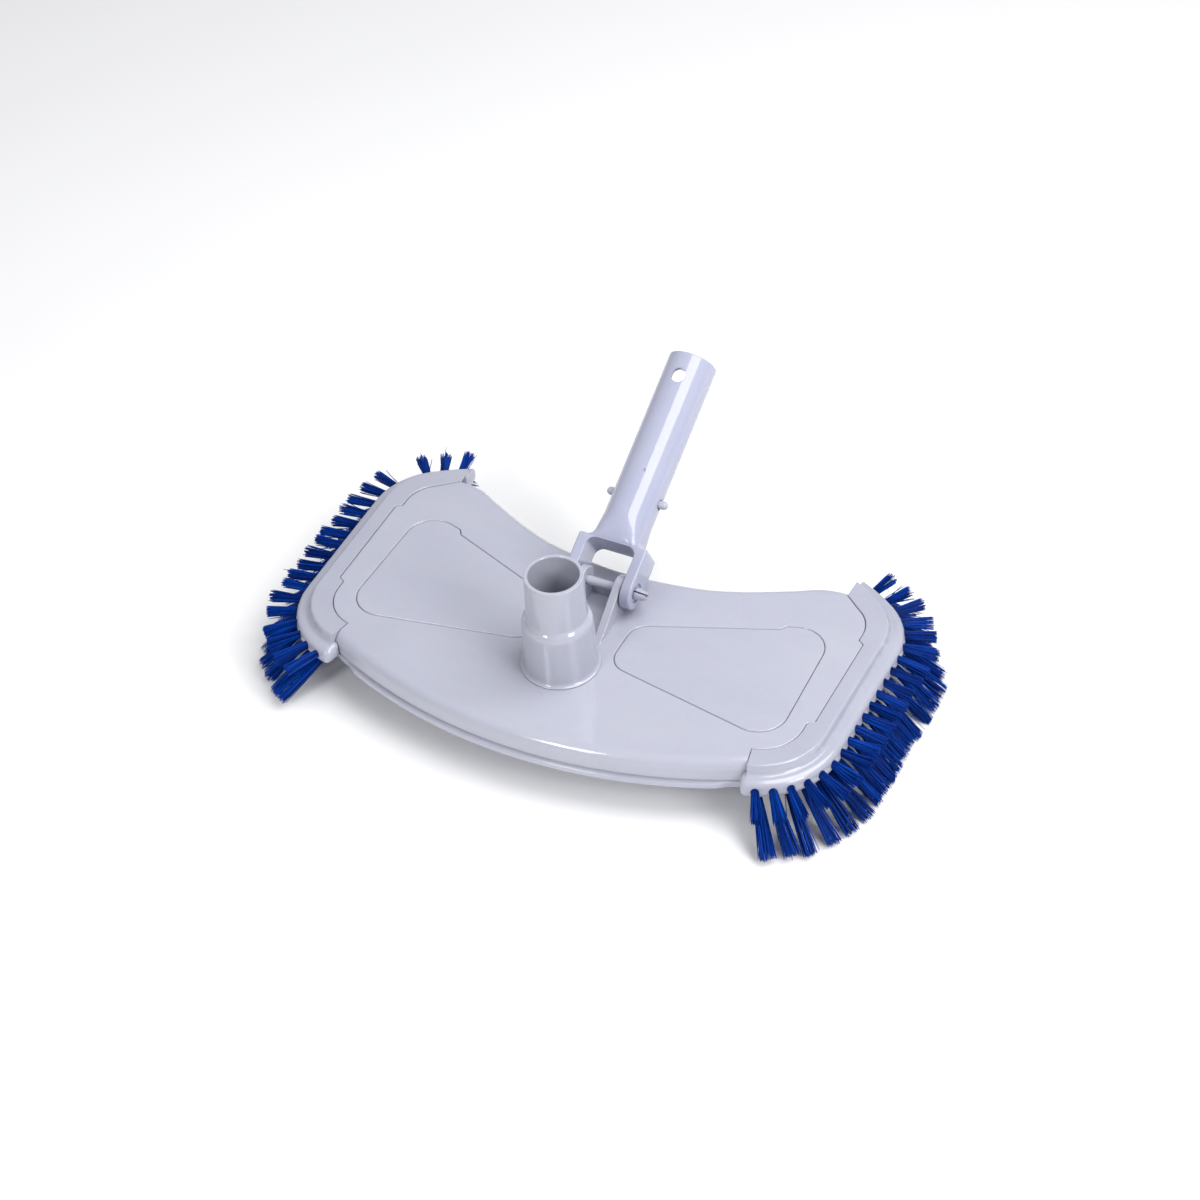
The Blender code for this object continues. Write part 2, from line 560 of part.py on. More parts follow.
def build_clip(place):
    """Snap clip: a bridge bow held in the bore and two sprung legs with buttons."""
    half_width, outer, inner = 0.0040, 0.0104, 0.0090
    bow = (arc((0.0, CLIP_HINGE_S + GAP), outer, 0.0, 180.0, 14)
           + arc((0.0, CLIP_HINGE_S + GAP), inner, 180.0, 0.0, 14))
    add("clip_bridge", moved(across_x(bow, half_width), place), "clip_plastic")

    leg = across_x([(inner, 0.0480), (outer, 0.0480), (outer, CLIP_HINGE_S), (inner, CLIP_HINGE_S)],
                   half_width)
    dome = [(BUTTON_RADIUS * math.cos(math.radians(a)),
             BUTTON_TIP - BUTTON_RADIUS * (1.0 - math.sin(math.radians(a)))) for a in (0, 30, 60)]
    button = lathe([(0.0, inner + 0.0004), (BUTTON_RADIUS, inner + 0.0004)] + dome
                   + [(0.0, BUTTON_TIP)], 20)
    button = moved(along_x(button), Matrix.Translation((0.0, 0.0, BUTTON_S)))
    for side, turn in (("left", mirrored), ("right", lambda shape: shape)):
        made = add(f"clip_leg_{side}", moved(turn(leg), place), "clip_plastic")
        combine(made, "UNION", f"clip_button_{side}", moved(turn(button), place))


def main():
    """Clear the scene and build every piece."""
    for leftover in list(bpy.data.objects):
        bpy.data.objects.remove(leftover)
    build_body()
    build_spigot()
    build_underside()
    build_arms()
    build_handle()


main()
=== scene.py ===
"""Weighted pool vacuum head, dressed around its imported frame.

Shapes are written about the hose port axis with z = 0 on the deck, in metres, and are then moved
to where the frame holds the port. The handle's shapes have the pivot pin at the origin, the tube
along +Z and the front face towards -Y.
"""
import json
import logging
import math
from dataclasses import dataclass, field
from enum import Enum

import bmesh
import bpy
import numpy as np
from mathutils import Matrix, Vector


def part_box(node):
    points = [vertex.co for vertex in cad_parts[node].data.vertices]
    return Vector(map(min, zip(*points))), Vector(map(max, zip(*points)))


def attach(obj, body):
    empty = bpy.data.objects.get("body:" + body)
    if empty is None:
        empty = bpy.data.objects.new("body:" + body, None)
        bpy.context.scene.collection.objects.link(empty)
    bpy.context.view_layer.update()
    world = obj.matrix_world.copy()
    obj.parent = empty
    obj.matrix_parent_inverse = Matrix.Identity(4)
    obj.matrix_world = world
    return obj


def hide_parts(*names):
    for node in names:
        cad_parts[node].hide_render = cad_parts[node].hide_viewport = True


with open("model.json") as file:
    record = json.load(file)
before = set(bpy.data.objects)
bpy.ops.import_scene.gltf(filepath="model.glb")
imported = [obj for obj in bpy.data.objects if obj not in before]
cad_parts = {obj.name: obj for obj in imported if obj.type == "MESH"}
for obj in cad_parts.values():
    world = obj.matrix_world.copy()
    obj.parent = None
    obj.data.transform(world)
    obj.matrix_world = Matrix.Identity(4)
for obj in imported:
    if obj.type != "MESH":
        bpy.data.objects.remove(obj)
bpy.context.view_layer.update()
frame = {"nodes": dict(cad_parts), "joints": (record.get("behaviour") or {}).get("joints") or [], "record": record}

LOG = logging.getLogger("vacuum_head")
GAP = 0.0003

Outline = list[tuple[float, float]]
Ring = list[tuple[float, float, float]]
Colour = tuple[float, float, float]


class Side(Enum):
    """The two mirrored halves of the head."""
    LEFT = "left"
    RIGHT = "right"


class Body(Enum):
    """The frame's moving bodies."""
    HEAD = "head"
    HANDLE = "handle"
    BUTTON_LEFT = "button_left"
    BUTTON_RIGHT = "button_right"


class Slot(Enum):
    """The record's material slots."""
    SHELL = "shell_plastic"
    COVER = "cover_plastic"
    ARM = "arm_plastic"
    SPIGOT = "spigot_plastic"
    HANDLE = "handle_plastic"
    PIN = "pin_plastic"
    CLIP = "clip_plastic"
    PLATE = "plate_plastic"
    BRISTLE = "blue_bristle"
    IRON = "weight_iron"
    STEEL = "screw_steel"


class Carve(Enum):
    """How a tool shape acts on a piece."""
    CUT = "DIFFERENCE"
    JOIN = "UNION"


class Tier(Enum):
    """The two rows of tufts on each arm."""
    UPPER = "upper"
    LOWER = "lower"


# Shapes --------------------------------------------------------------------------------
@dataclass
class Solid:
    """A closed surface in the making: corner points and the faces between them."""
    points: list[Vector]
    faces: list[tuple[int, ...]]

    def through(self, matrix: Matrix) -> "Solid":
        """The same shape moved through a matrix."""
        return Solid([matrix @ point for point in self.points], self.faces)

    def shifted(self, x: float, y: float, z: float) -> "Solid":
        """The same shape moved by an offset."""
        return self.through(Matrix.Translation((x, y, z)))

    def mirrored(self) -> "Solid":
        """The same shape on the other side of x = 0."""
        return Solid([Vector((-p.x, p.y, p.z)) for p in self.points],
                     [tuple(reversed(face)) for face in self.faces])

    def on(self, side: Side) -> "Solid":
        """The shape as written for the right, or its mirror image for the left."""
        return self if side is Side.RIGHT else self.mirrored()

    def along_x(self) -> "Solid":
        """The shape with its Z axis turned onto +X."""
        return self.through(Matrix.Rotation(math.radians(90.0), 4, "Y"))

    def on_edge(self) -> "Solid":
        """A flat piece stood up so that its thickness runs along X."""
        return Solid([Vector((p.z, p.x, p.y)) for p in self.points], self.faces)

    def facing_front(self) -> "Solid":
        """A flat piece stood up so that its thickness runs along Y."""
        return Solid([Vector((p.x, -p.z, p.y)) for p in self.points], self.faces)

    def joined(self, *others: "Solid") -> "Solid":
        """Gather several separate shapes into one.

        Args:
            others: the shapes to add.

        Returns:
            One shape that holds them all.
        """
        points, faces = list(self.points), list(self.faces)
        for other in others:
            base = len(points)
            points += other.points
            faces += [tuple(base + i for i in face) for face in other.faces]
        return Solid(points, faces)

    def both_sides(self) -> "Solid":
        """The shape with its mirror image."""
        return self.joined(self.mirrored())


def loft(rings: list[Ring]) -> Solid:
    """Skin equal-length rings into one closed shape.

    Args:
        rings: closed loops of points, each with the same number of points.

    Returns:
        The skinned shape with both ends capped.
    """
    count = len(rings[0])
    points = [Vector(point) for ring in rings for point in ring]
    faces = [tuple(reversed(range(count)))]
    for level in range(len(rings) - 1):
        for i in range(count):
            a, b = level * count + i, level * count + (i + 1) % count
            faces.append((a, b, b + count, a + count))
    faces.append(tuple(range((len(rings) - 1) * count, len(rings) * count)))
    return Solid(points, faces)


def lathe(profile: Outline, segments: int = 64, phase: float = 0.0) -> Solid:
    """Turn a profile about Z.

    Args:
        profile: (radius, z) points of a closed section; radius 0 closes to a point.
        segments: number of steps round the axis.
        phase: turn of the first step, in steps.

    Returns:
        The turned shape.
    """
    points: list[Vector] = []
    faces: list[tuple[int, ...]] = []
    rows: list[list[int]] = []
    for radius, z in profile:
        if radius == 0.0:
            points.append(Vector((0.0, 0.0, z)))
            rows.append([len(points) - 1] * segments)
            continue
        rows.append(list(range(len(points), len(points) + segments)))
        for i in range(segments):
            turn = 2.0 * math.pi * (i + phase) / segments
            points.append(Vector((radius * math.cos(turn), radius * math.sin(turn), z)))
    for k, row in enumerate(rows):
        following = rows[(k + 1) % len(rows)]
        if row[0] == row[-1] and following[0] == following[-1]:
            continue
        for i in range(segments):
            j = (i + 1) % segments
            corners = dict.fromkeys((row[i], row[j], following[j], following[i]))
            faces.append(tuple(corners))
    return Solid(points, faces)


def rod(radius: float, low: float, high: float, segments: int = 32) -> Solid:
    """A plain round cutter along Z.

    Args:
        radius: its radius.
        low: its lower end.
        high: its upper end.
        segments: steps round the axis.

    Returns:
        The cutter.
    """
    return lathe([(0.0, low), (radius, low), (radius, high), (0.0, high)], segments, 0.4)


def flared_rod(radius: float, low: float, mouth: float, lip: float,
               segments: int = 48) -> Solid:
    """A round cutter along Z whose mouth opens in a quarter round.

    Args:
        radius: hole radius.
        low: inner end of the hole.
        mouth: height of the surface that the hole opens on.
        lip: radius of the rounded edge.
        segments: steps round the axis.

    Returns:
        The cutter, which reaches past the mouth.
    """
    profile = [(0.0, low), (radius, low)]
    for turn in (0.0, 22.5, 45.0, 67.5, 90.0):
        a = math.radians(turn)
        profile.append((radius + lip * (1.0 - math.cos(a)), mouth - lip * (1.0 - math.sin(a))))
    profile += [(radius + lip, mouth + 0.004), (0.0, mouth + 0.004)]
    return lathe(profile, segments, 0.4)


def through_hole(radius: float, half_span: float, lip: float, segments: int = 48) -> Solid:
    """A round cutter along Z that opens in a quarter round at both ends.

    Args:
        radius: hole radius.
        half_span: distance from the middle to the surfaces that it opens on.
        lip: radius of the rounded edges.
        segments: steps round the axis.

    Returns:
        The cutter, which reaches past both surfaces.
    """
    upper = [(radius + lip * (1.0 - c), half_span - lip * (1.0 - s)) for s, c in quarter()]
    upper += [(radius + lip, half_span + 0.004), (0.0, half_span + 0.004)]
    return lathe([(r, -z) for r, z in reversed(upper)] + upper, segments, 0.4)


def arc(centre: tuple[float, float], radius: float, start: float, stop: float, steps: int) -> Outline:
    """Points on a circle.

    Args:
        centre: the circle's middle.
        radius: its radius.
        start: first angle in degrees.
        stop: last angle in degrees.
        steps: number of steps between them.

    Returns:
        The points from start to stop.
    """
    turns = [math.radians(start + (stop - start) * k / steps) for k in range(steps + 1)]
    return [(centre[0] + radius * math.cos(a), centre[1] + radius * math.sin(a)) for a in turns]


def spline(points: Outline, steps: int) -> Outline:
    """A smooth curve through points, level at both ends.

    Args:
        points: the points to pass through.
        steps: steps between each two points.

    Returns:
        The curve's points, the last point included.
    """
    ends = [(2 * points[0][0] - points[1][0], points[1][1])] + list(points)
    ends.append((2 * points[-1][0] - points[-2][0], points[-1][1]))
    return catmull(ends, steps)


def catmull(points: Outline, steps: int) -> Outline:
    """A Catmull-Rom curve from the second point to the last but one.

    Args:
        points: guide points, the first and last of which only give direction.
        steps: steps between each two points.

    Returns:
        The curve's points.
    """
    curve: Outline = []
    for p0, p1, p2, p3 in zip(points, points[1:], points[2:], points[3:]):
        for k in range(steps):
            t = k / steps
            curve.append(tuple(
                0.5 * (2 * b + (c - a) * t + (2 * a - 5 * b + 4 * c - d) * t * t
                       + (3 * b - a - 3 * c + d) * t ** 3)
                for a, b, c, d in zip(p0, p1, p2, p3)))
    curve.append(tuple(points[-2]))
    return curve


def rounded(corners: list[tuple[float, float, float]], steps: int = 8) -> Outline:
    """A polygon with rounded corners.

    Args:
        corners: (x, y, radius) of each corner, in order.
        steps: steps round each corner.

    Returns:
        The outline's points.
    """
    outline: Outline = []
    count = len(corners)
    for i, (x, y, radius) in enumerate(corners):
        if radius <= 0.0:
            outline.append((x, y))
            continue
        here = Vector((x, y))
        back = (Vector(corners[i - 1][:2]) - here).normalized()
        ahead = (Vector(corners[(i + 1) % count][:2]) - here).normalized()
        half = back.angle(ahead) / 2.0
        centre = here + (back + ahead).normalized() * (radius / math.sin(half))
        first = here + back * (radius / math.tan(half)) - centre
        last = here + ahead * (radius / math.tan(half)) - centre
        turn = first.angle_signed(last)
        for k in range(steps + 1):
            swing = Matrix.Rotation(-turn * k / steps, 2)
            outline.append(tuple(centre + swing @ first))
    return outline


def grown(outline: Outline, amount: float) -> Outline:
    """An outline moved outward.

    Args:
        outline: counter-clockwise points.
        amount: distance outward; a negative one moves it inward.

    Returns:
        The moved outline, point for point.
    """
    count = len(outline)
    result: Outline = []
    for i, (x, y) in enumerate(outline):
        before = Vector(outline[i]) - Vector(outline[i - 1])
        after = Vector(outline[(i + 1) % count]) - Vector(outline[i])
        along = before.normalized() + after.normalized()
        along.normalize()
        result.append((x + along.y * amount, y - along.x * amount))
    return result


def quarter(steps: int = 4) -> list[tuple[float, float]]:
    """Sines and cosines of a quarter turn, from 0 to 90 degrees.

    Args:
        steps: number of even steps.

    Returns:
        (sine, cosine) at each step.
    """
    return [(math.sin(math.pi / 2 * k / steps), math.cos(math.pi / 2 * k / steps))
            for k in range(steps + 1)]


def slab(outline: Outline, low: float, high: float, rim: float, lower_rim: float = 0.0) -> Solid:
    """A flat piece whose edges are rounded.

    Args:
        outline: counter-clockwise (x, y) points.
        low: lower face height.
        high: upper face height.
        rim: radius of the upper edge.
        lower_rim: radius of the lower edge.

    Returns:
        The flat piece.
    """
    rings: list[Ring] = []
    if lower_rim > 0.0:
        rings += [[(x, y, low + lower_rim * (1.0 - c))
                   for x, y in grown(outline, -lower_rim * (1.0 - s))] for s, c in quarter()]
    else:
        rings.append([(x, y, low) for x, y in outline])
    if rim > 0.0:
        rings += [[(x, y, high - rim * (1.0 - s)) for x, y in grown(outline, -rim * (1.0 - c))]
                  for s, c in quarter()]
    else:
        rings.append([(x, y, high) for x, y in outline])
    return loft(rings)


def recess(outline: Outline, floor: float, mouth: float, lip: float) -> Solid:
    """A cutter for a pocket whose mouth has a rounded edge.

    Args:
        outline: counter-clockwise pocket outline.
        floor: height of the pocket's floor.
        mouth: height of the surface that it opens on.
        lip: radius of the rounded edge.

    Returns:
        The cutter, which reaches past the mouth.
    """
    rings: list[Ring] = [[(x, y, floor) for x, y in outline]]
    for s, c in quarter():
        rings.append([(x, y, mouth - lip * (1.0 - s)) for x, y in grown(outline, lip * (1.0 - c))])
    rings.append([(x, y, mouth + 0.003) for x, y in grown(outline, lip)])
    return loft(rings)


# Finishes ------------------------------------------------------------------------------
class Graph:
    """Short-hand for wiring the nodes of one material."""

    def __init__(self, name: str) -> None:
        """Start a material with its shader.

        Args:
            name: the material's name.
        """
        self.material = bpy.data.materials.new(name)
        self.material.use_nodes = True
        self.tree = self.material.node_tree
        self.shader = self.tree.nodes["Principled BSDF"]
        self.place = self.node("ShaderNodeTexCoord").outputs["Object"]

    def node(self, kind: str, **values: object) -> bpy.types.Node:
        """Add a node.

        Args:
            kind: the node's type.
            values: properties, or sockets by name with _ for spaces.

        Returns:
            The node.
        """
        made = self.tree.nodes.new(kind)
        for key, value in values.items():
            if hasattr(made, key):
                setattr(made, key, value)
            else:
                made.inputs[key.replace("_", " ")].default_value = value
        return made

    def link(self, source: bpy.types.NodeSocket, target: bpy.types.NodeSocket) -> None:
        """Wire one socket to another."""
        self.tree.links.new(source, target)

    def dress(self, **values: object) -> None:
        """Set constants on the shader's own sockets, by name with _ for spaces."""
        for key, value in values.items():
            self.shader.inputs[key.replace("_", " ")].default_value = value

    def noise(self, scale: float, detail: float = 3.0, stretch: Vector | None = None,
              offset: float = 0.0) -> bpy.types.NodeSocket:
        """A fractal noise over the piece.

        Args:
            scale: features per metre.
            detail: octaves.
            stretch: scale of the pattern along each axis.
            offset: shift of the pattern, so that finishes differ.

        Returns:
            The noise value's socket.
        """
        shift = self.node("ShaderNodeMapping", Location=(offset, offset * 0.7, -offset),
                          Scale=tuple(stretch or Vector((1.0, 1.0, 1.0))))
        self.link(self.place, shift.inputs["Vector"])
        made = self.node("ShaderNodeTexNoise", Scale=scale, Detail=detail)
        self.link(shift.outputs["Vector"], made.inputs["Vector"])
        return made.outputs["Fac"]

    def ramp(self, source: bpy.types.NodeSocket, stops: list[tuple[float, Colour]]) -> bpy.types.NodeSocket:
        """Colours over a value.

        Args:
            source: the value.
            stops: (position, colour) pairs in order.

        Returns:
            The colour's socket.
        """
        made = self.node("ShaderNodeValToRGB")
        ramp = made.color_ramp
        while len(ramp.elements) < len(stops):
            ramp.elements.new(0.5)
        for element, (position, colour) in zip(ramp.elements, stops):
            element.position = position
            element.color = (*colour, 1.0)
        self.link(source, made.inputs["Fac"])
        return made.outputs["Color"]

    def span(self, source: bpy.types.NodeSocket, low: float, high: float,
             start: float = 0.3, stop: float = 0.7) -> bpy.types.NodeSocket:
        """Map a value onto a range.

        Args:
            source: the value.
            low: result where the value is at or below start.
            high: result where the value is at or above stop.
            start: lower end of the value.
            stop: upper end of the value.

        Returns:
            The mapped value's socket.
        """
        made = self.node("ShaderNodeMapRange")
        for key, value in zip(("From Min", "From Max", "To Min", "To Max"), (start, stop, low, high)):
            made.inputs[key].default_value = value
        self.link(source, made.inputs["Value"])
        return made.outputs["Result"]

    def mix(self, amount: bpy.types.NodeSocket, low: bpy.types.NodeSocket | Colour,
            high: bpy.types.NodeSocket | Colour) -> bpy.types.NodeSocket:
        """Blend two colours.

        Args:
            amount: share of the second colour.
            low: first colour.
            high: second colour.

        Returns:
            The blended colour's socket.
        """
        made = self.node("ShaderNodeMix", data_type="RGBA")
        self.link(amount, made.inputs["Factor"])
        for value, socket in ((low, made.inputs[6]), (high, made.inputs[7])):
            if isinstance(value, tuple):
                socket.default_value = (*value, 1.0)
            else:
                self.link(value, socket)
        return made.outputs[2]

    def edges(self, radius: float) -> tuple[bpy.types.NodeSocket, bpy.types.NodeSocket]:
        """Find the piece's edges.

        Args:
            radius: how far an edge reaches.

        Returns:
            A value that is 1 on edges and 0 on flat faces, and the rounded normal.
        """
        bevel = self.node("ShaderNodeBevel", samples=4, Radius=radius)
        geometry = self.node("ShaderNodeNewGeometry")
        dot = self.node("ShaderNodeVectorMath", operation="DOT_PRODUCT")
        self.link(bevel.outputs["Normal"], dot.inputs[0])
        self.link(geometry.outputs["True Normal"], dot.inputs[1])
        return self.span(dot.outputs["Value"], 1.0, 0.0, 0.80, 0.985), bevel.outputs["Normal"]

    def bumps(self, layers: list[tuple[bpy.types.NodeSocket, float]],
              normal: bpy.types.NodeSocket | None = None) -> None:
        """Stack height layers onto the shader's normal.

        Args:
            layers: (height socket, depth in metres) pairs.
            normal: normal to start from.
        """
        for height, depth in layers:
            made = self.node("ShaderNodeBump", Strength=1.0, Distance=depth)
            self.link(height, made.inputs["Height"])
            if normal is not None:
                self.link(normal, made.inputs["Normal"])
            normal = made.outputs["Normal"]
        self.link(normal, self.shader.inputs["Normal"])


@dataclass(frozen=True)
class MouldedPlastic:
    """Glossy moulded plastic with flow marks, a faint ripple and rubbed edges."""
    name: str
    shade: Colour
    roughness: float = 0.12
    ripple: float = 0.000010
    seed: float = 0.0
    rubbed: float = 0.35
    coat: float = 0.30

    def build(self) -> bpy.types.Material:
        """Make the material.

        Returns:
            The material.
        """
        graph = Graph(self.name)
        r, g, b = self.shade
        flow = graph.noise(14.0, 4.0, Vector((1.0, 2.2, 1.0)), self.seed)
        base = graph.ramp(flow, [(0.30, (r * 0.955, g * 0.957, b * 0.972)), (0.55, self.shade),
                                 (0.75, (min(1.0, r * 1.03), min(1.0, g * 1.03), min(1.0, b * 1.015)))])
        fine = graph.noise(420.0, 2.0, None, self.seed + 3.0)
        base = graph.mix(graph.span(fine, 0.0, 0.09), base, (r * 0.80, g * 0.80, b * 0.86))
        edge, soft = graph.edges(0.0005)
        worn = graph.noise(160.0, 3.0, None, self.seed + 5.0)
        wear = graph.node("ShaderNodeMath", operation="MULTIPLY")
        graph.link(edge, wear.inputs[0])
        graph.link(graph.span(worn, 0.0, self.rubbed, 0.35, 0.65), wear.inputs[1])
        pale = (min(1.0, r * 1.12), min(1.0, g * 1.12), min(1.0, b * 1.08))
        base = graph.mix(wear.outputs["Value"], base, pale)
        graph.link(base, graph.shader.inputs["Base Color"])
        patches = graph.noise(38.0, 4.0, None, self.seed + 9.0)
        gloss = graph.node("ShaderNodeMath", operation="ADD")
        graph.link(graph.span(patches, self.roughness - 0.035, self.roughness + 0.045), gloss.inputs[0])
        graph.link(graph.span(wear.outputs["Value"], 0.0, 0.18, 0.0, 1.0), gloss.inputs[1])
        graph.link(gloss.outputs["Value"], graph.shader.inputs["Roughness"])
        graph.dress(IOR=1.52, Coat_Weight=self.coat, Coat_Roughness=0.06,
                    Subsurface_Weight=0.05, Subsurface_Scale=0.003)
        ripple = graph.noise(95.0, 2.0, None, self.seed + 1.0)
        grain = graph.noise(2600.0, 2.0, None, self.seed + 2.0)
        graph.bumps([(ripple, self.ripple * 6.0), (grain, self.ripple * 0.35)], soft)
        return graph.material


@dataclass(frozen=True)
class BristleNylon:
    """Deep blue filaments, each of its own tone, with painted shade that darkens them towards the root."""
    name: str
    dark: Colour = (0.0002, 0.0036, 0.040)
    middle: Colour = (0.0003, 0.0140, 0.150)
    bright: Colour = (0.0010, 0.0700, 0.480)
    roughness: float = 0.42

    def build(self) -> bpy.types.Material:
        """Make the material.

        Returns:
            The material.
        """
        graph = Graph(self.name)
        strand = graph.node("ShaderNodeAttribute", attribute_name="strand")
        parts = graph.node("ShaderNodeSeparateColor")
        graph.link(strand.outputs["Color"], parts.inputs["Color"])
        tone = graph.ramp(parts.outputs["Red"], [(0.0, self.dark), (0.45, self.middle), (1.0, self.bright)])
        # Painted shade: the colour is pulled towards a near-black blue near each filament's root, where the
        # crowded tuft is in shade.
        shade = graph.span(parts.outputs["Green"], 0.65, 0.0, 0.0, 0.45)
        tone = graph.mix(shade, tone, tuple(c * 0.35 for c in self.dark))
        streak = graph.noise(700.0, 2.0, None, 1.0)
        tone = graph.mix(graph.span(streak, 0.0, 0.30), tone, self.bright)
        graph.link(tone, graph.shader.inputs["Base Color"])
        graph.link(graph.span(parts.outputs["Red"], self.roughness - 0.06, self.roughness + 0.12, 0.0, 1.0),
                   graph.shader.inputs["Roughness"])
        graph.dress(IOR=1.5, Specular_IOR_Level=0.08)
        graph.bumps([(graph.noise(3200.0, 1.0), 0.00002)])
        return graph.material


@dataclass(frozen=True)
class Metal:
    """Bare or painted metal with pits and a worn bloom."""
    name: str
    shade: Colour
    metallic: float
    roughness: float
    pitting: float
    scale: float

    def build(self) -> bpy.types.Material:
        """Make the material.

        Returns:
            The material.
        """
        graph = Graph(self.name)
        cloud = graph.noise(self.scale * 0.3, 5.0)
        base = graph.ramp(cloud, [(0.3, tuple(c * 0.72 for c in self.shade)), (0.6, self.shade),
                                  (0.8, tuple(min(1.0, c * 1.25) for c in self.shade))])
        edge, soft = graph.edges(0.0003)
        base = graph.mix(graph.span(edge, 0.0, 0.5, 0.0, 1.0), base,
                         tuple(min(1.0, c * 1.5) for c in self.shade))
        graph.link(base, graph.shader.inputs["Base Color"])
        graph.link(graph.span(cloud, self.roughness - 0.08, self.roughness + 0.12),
                   graph.shader.inputs["Roughness"])
        graph.dress(Metallic=self.metallic)
        graph.bumps([(graph.noise(self.scale, 3.0), self.pitting)], soft)
        return graph.material


class Finishes:
    """The materials of the head, made once and shared by its pieces."""

    def __init__(self) -> None:
        """Make every finish."""
        shell = (0.405, 0.415, 0.490)
        kinds = {
            Slot.SHELL: MouldedPlastic("shell_gloss", shell, seed=0.0),
            Slot.COVER: MouldedPlastic("cover_gloss", shell, 0.14, seed=11.0),
            Slot.ARM: MouldedPlastic("arm_gloss", (0.375, 0.385, 0.460), 0.14, seed=23.0),
            Slot.SPIGOT: MouldedPlastic("spigot_gloss", (0.400, 0.410, 0.480), 0.10, seed=37.0),
            Slot.HANDLE: MouldedPlastic("handle_gloss", (0.370, 0.385, 0.500), 0.09, seed=41.0),
            Slot.PIN: MouldedPlastic("pin_nylon", (0.40, 0.41, 0.49), 0.42, seed=53.0, coat=0.0),
            Slot.CLIP: MouldedPlastic("clip_nylon", (0.40, 0.41, 0.49), 0.30, seed=61.0, coat=0.0),
            Slot.PLATE: MouldedPlastic("plate_satin", (0.37, 0.38, 0.46), 0.34, seed=71.0, coat=0.0),
            Slot.BRISTLE: BristleNylon("bristle_blue"),
            Slot.IRON: Metal("weight_cast_iron", (0.085, 0.085, 0.092), 0.6, 0.58, 0.00012, 900.0),
            Slot.STEEL: Metal("screw_stainless", (0.62, 0.62, 0.64), 1.0, 0.28, 0.00001, 1500.0),
        }
        self.made = {slot: kind.build() for slot, kind in kinds.items()}

    def __getitem__(self, slot: Slot) -> bpy.types.Material:
        """The material of a slot."""
        return self.made[slot]


# Bench ---------------------------------------------------------------------------------
class Bench:
    """Knows where the frame holds the port and the hinge, and turns shapes into placed pieces."""

    def __init__(self, finishes: Finishes) -> None:
        """Read the places of the port, the deck and the hinge from the frame.

        Args:
            finishes: the materials to dress pieces with.
        """
        self.finishes = finishes
        low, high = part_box("hose_spigot")
        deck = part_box("weight_cover_right")[1].z
        self.port = Vector(((low.x + high.x) / 2.0, (low.y + high.y) / 2.0, deck))
        self.floor = -deck
        tilt = next(joint for joint in frame["joints"] if joint["name"] == "handle_tilt")
        self.pin = Vector(tilt["pos_m"]) - self.port
        pole = next(m for m in frame["record"]["mounts"] if m["name"] == "pole_end")
        self.lean = math.atan2(pole["axis"][2], pole["axis"][1])
        self.to_handle = (Matrix.Translation(self.pin)
                          @ Matrix.Rotation(self.lean - math.pi / 2.0, 4, "X"))

    def make(self, name: str, solid: Solid, slot: Slot) -> bpy.types.Object:
        """Link a shape into the scene.

        Args:
            name: the piece's name.
            solid: its shape about the port.
            slot: the record's slot that it takes its finish from.

        Returns:
            The object.
        """
        mesh = bpy.data.meshes.new(name)
        mesh.from_pydata([tuple(p + self.port) for p in solid.points], [], solid.faces)
        working = bmesh.new()
        working.from_mesh(mesh)
        bmesh.ops.recalc_face_normals(working, faces=working.faces)
        caps = [face for face in working.faces if len(face.verts) > 4]
        bmesh.ops.triangulate(working, faces=caps)
        working.to_mesh(mesh)
        working.free()
        mesh.materials.append(self.finishes[slot])
        made = bpy.data.objects.new(name, mesh)
        bpy.context.scene.collection.objects.link(made)
        return made

    def shape(self, piece: bpy.types.Object, steps: list[tuple[Carve, Solid]]) -> None:
        """Cut and join tool shapes, and keep the result as the piece's mesh.

        Args:
            piece: the piece to work on.
            steps: tool shapes in order, each with how it acts.
        """
        for action, solid in steps:
            tool = self.make("tool", solid, Slot.SHELL)
            tool.data.materials.clear()
            modifier = piece.modifiers.new("carve", "BOOLEAN")
            modifier.operation, modifier.solver, modifier.object = action.value, "EXACT", tool
            bpy.context.view_layer.update()
            evaluated = piece.evaluated_get(bpy.context.evaluated_depsgraph_get())
            piece.data = bpy.data.meshes.new_from_object(evaluated)
            piece.data.name = piece.name
            piece.modifiers.clear()
            bpy.data.objects.remove(tool)
            working = bmesh.new()
            working.from_mesh(piece.data)
            bmesh.ops.remove_doubles(working, verts=working.verts, dist=0.000004)
            bmesh.ops.dissolve_degenerate(working, edges=working.edges, dist=0.000002)
            working.to_mesh(piece.data)
            working.free()

    def hand_over(self, piece: bpy.types.Object, body: Body, nodes: list[str], slot: Slot,
                  sharp: float = 40.0, even: bool = True) -> bpy.types.Object:
        """Smooth a finished piece and put it in place of its frame nodes.

        Args:
            piece: the piece.
            body: the body that it rides on.
            nodes: frame nodes that it stands for.
            slot: the record's slot of its finish; not used.
            sharp: edges above this angle stay crisp, in degrees.
            even: weight the normals so that flat faces stay flat.

        Returns:
            The piece.
        """
        piece.data.polygons.foreach_set("use_smooth", [True] * len(piece.data.polygons))
        piece.data.set_sharp_from_angle(angle=math.radians(sharp))
        if even:
            weighted = piece.modifiers.new("even_normals", "WEIGHTED_NORMAL")
            weighted.keep_sharp = True
            weighted.weight = 60
        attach(piece, body.value)
        if nodes:
            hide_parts(*nodes)
        LOG.info("%s rides on %s, %d faces", piece.name, body.value, len(piece.data.polygons))
        return piece


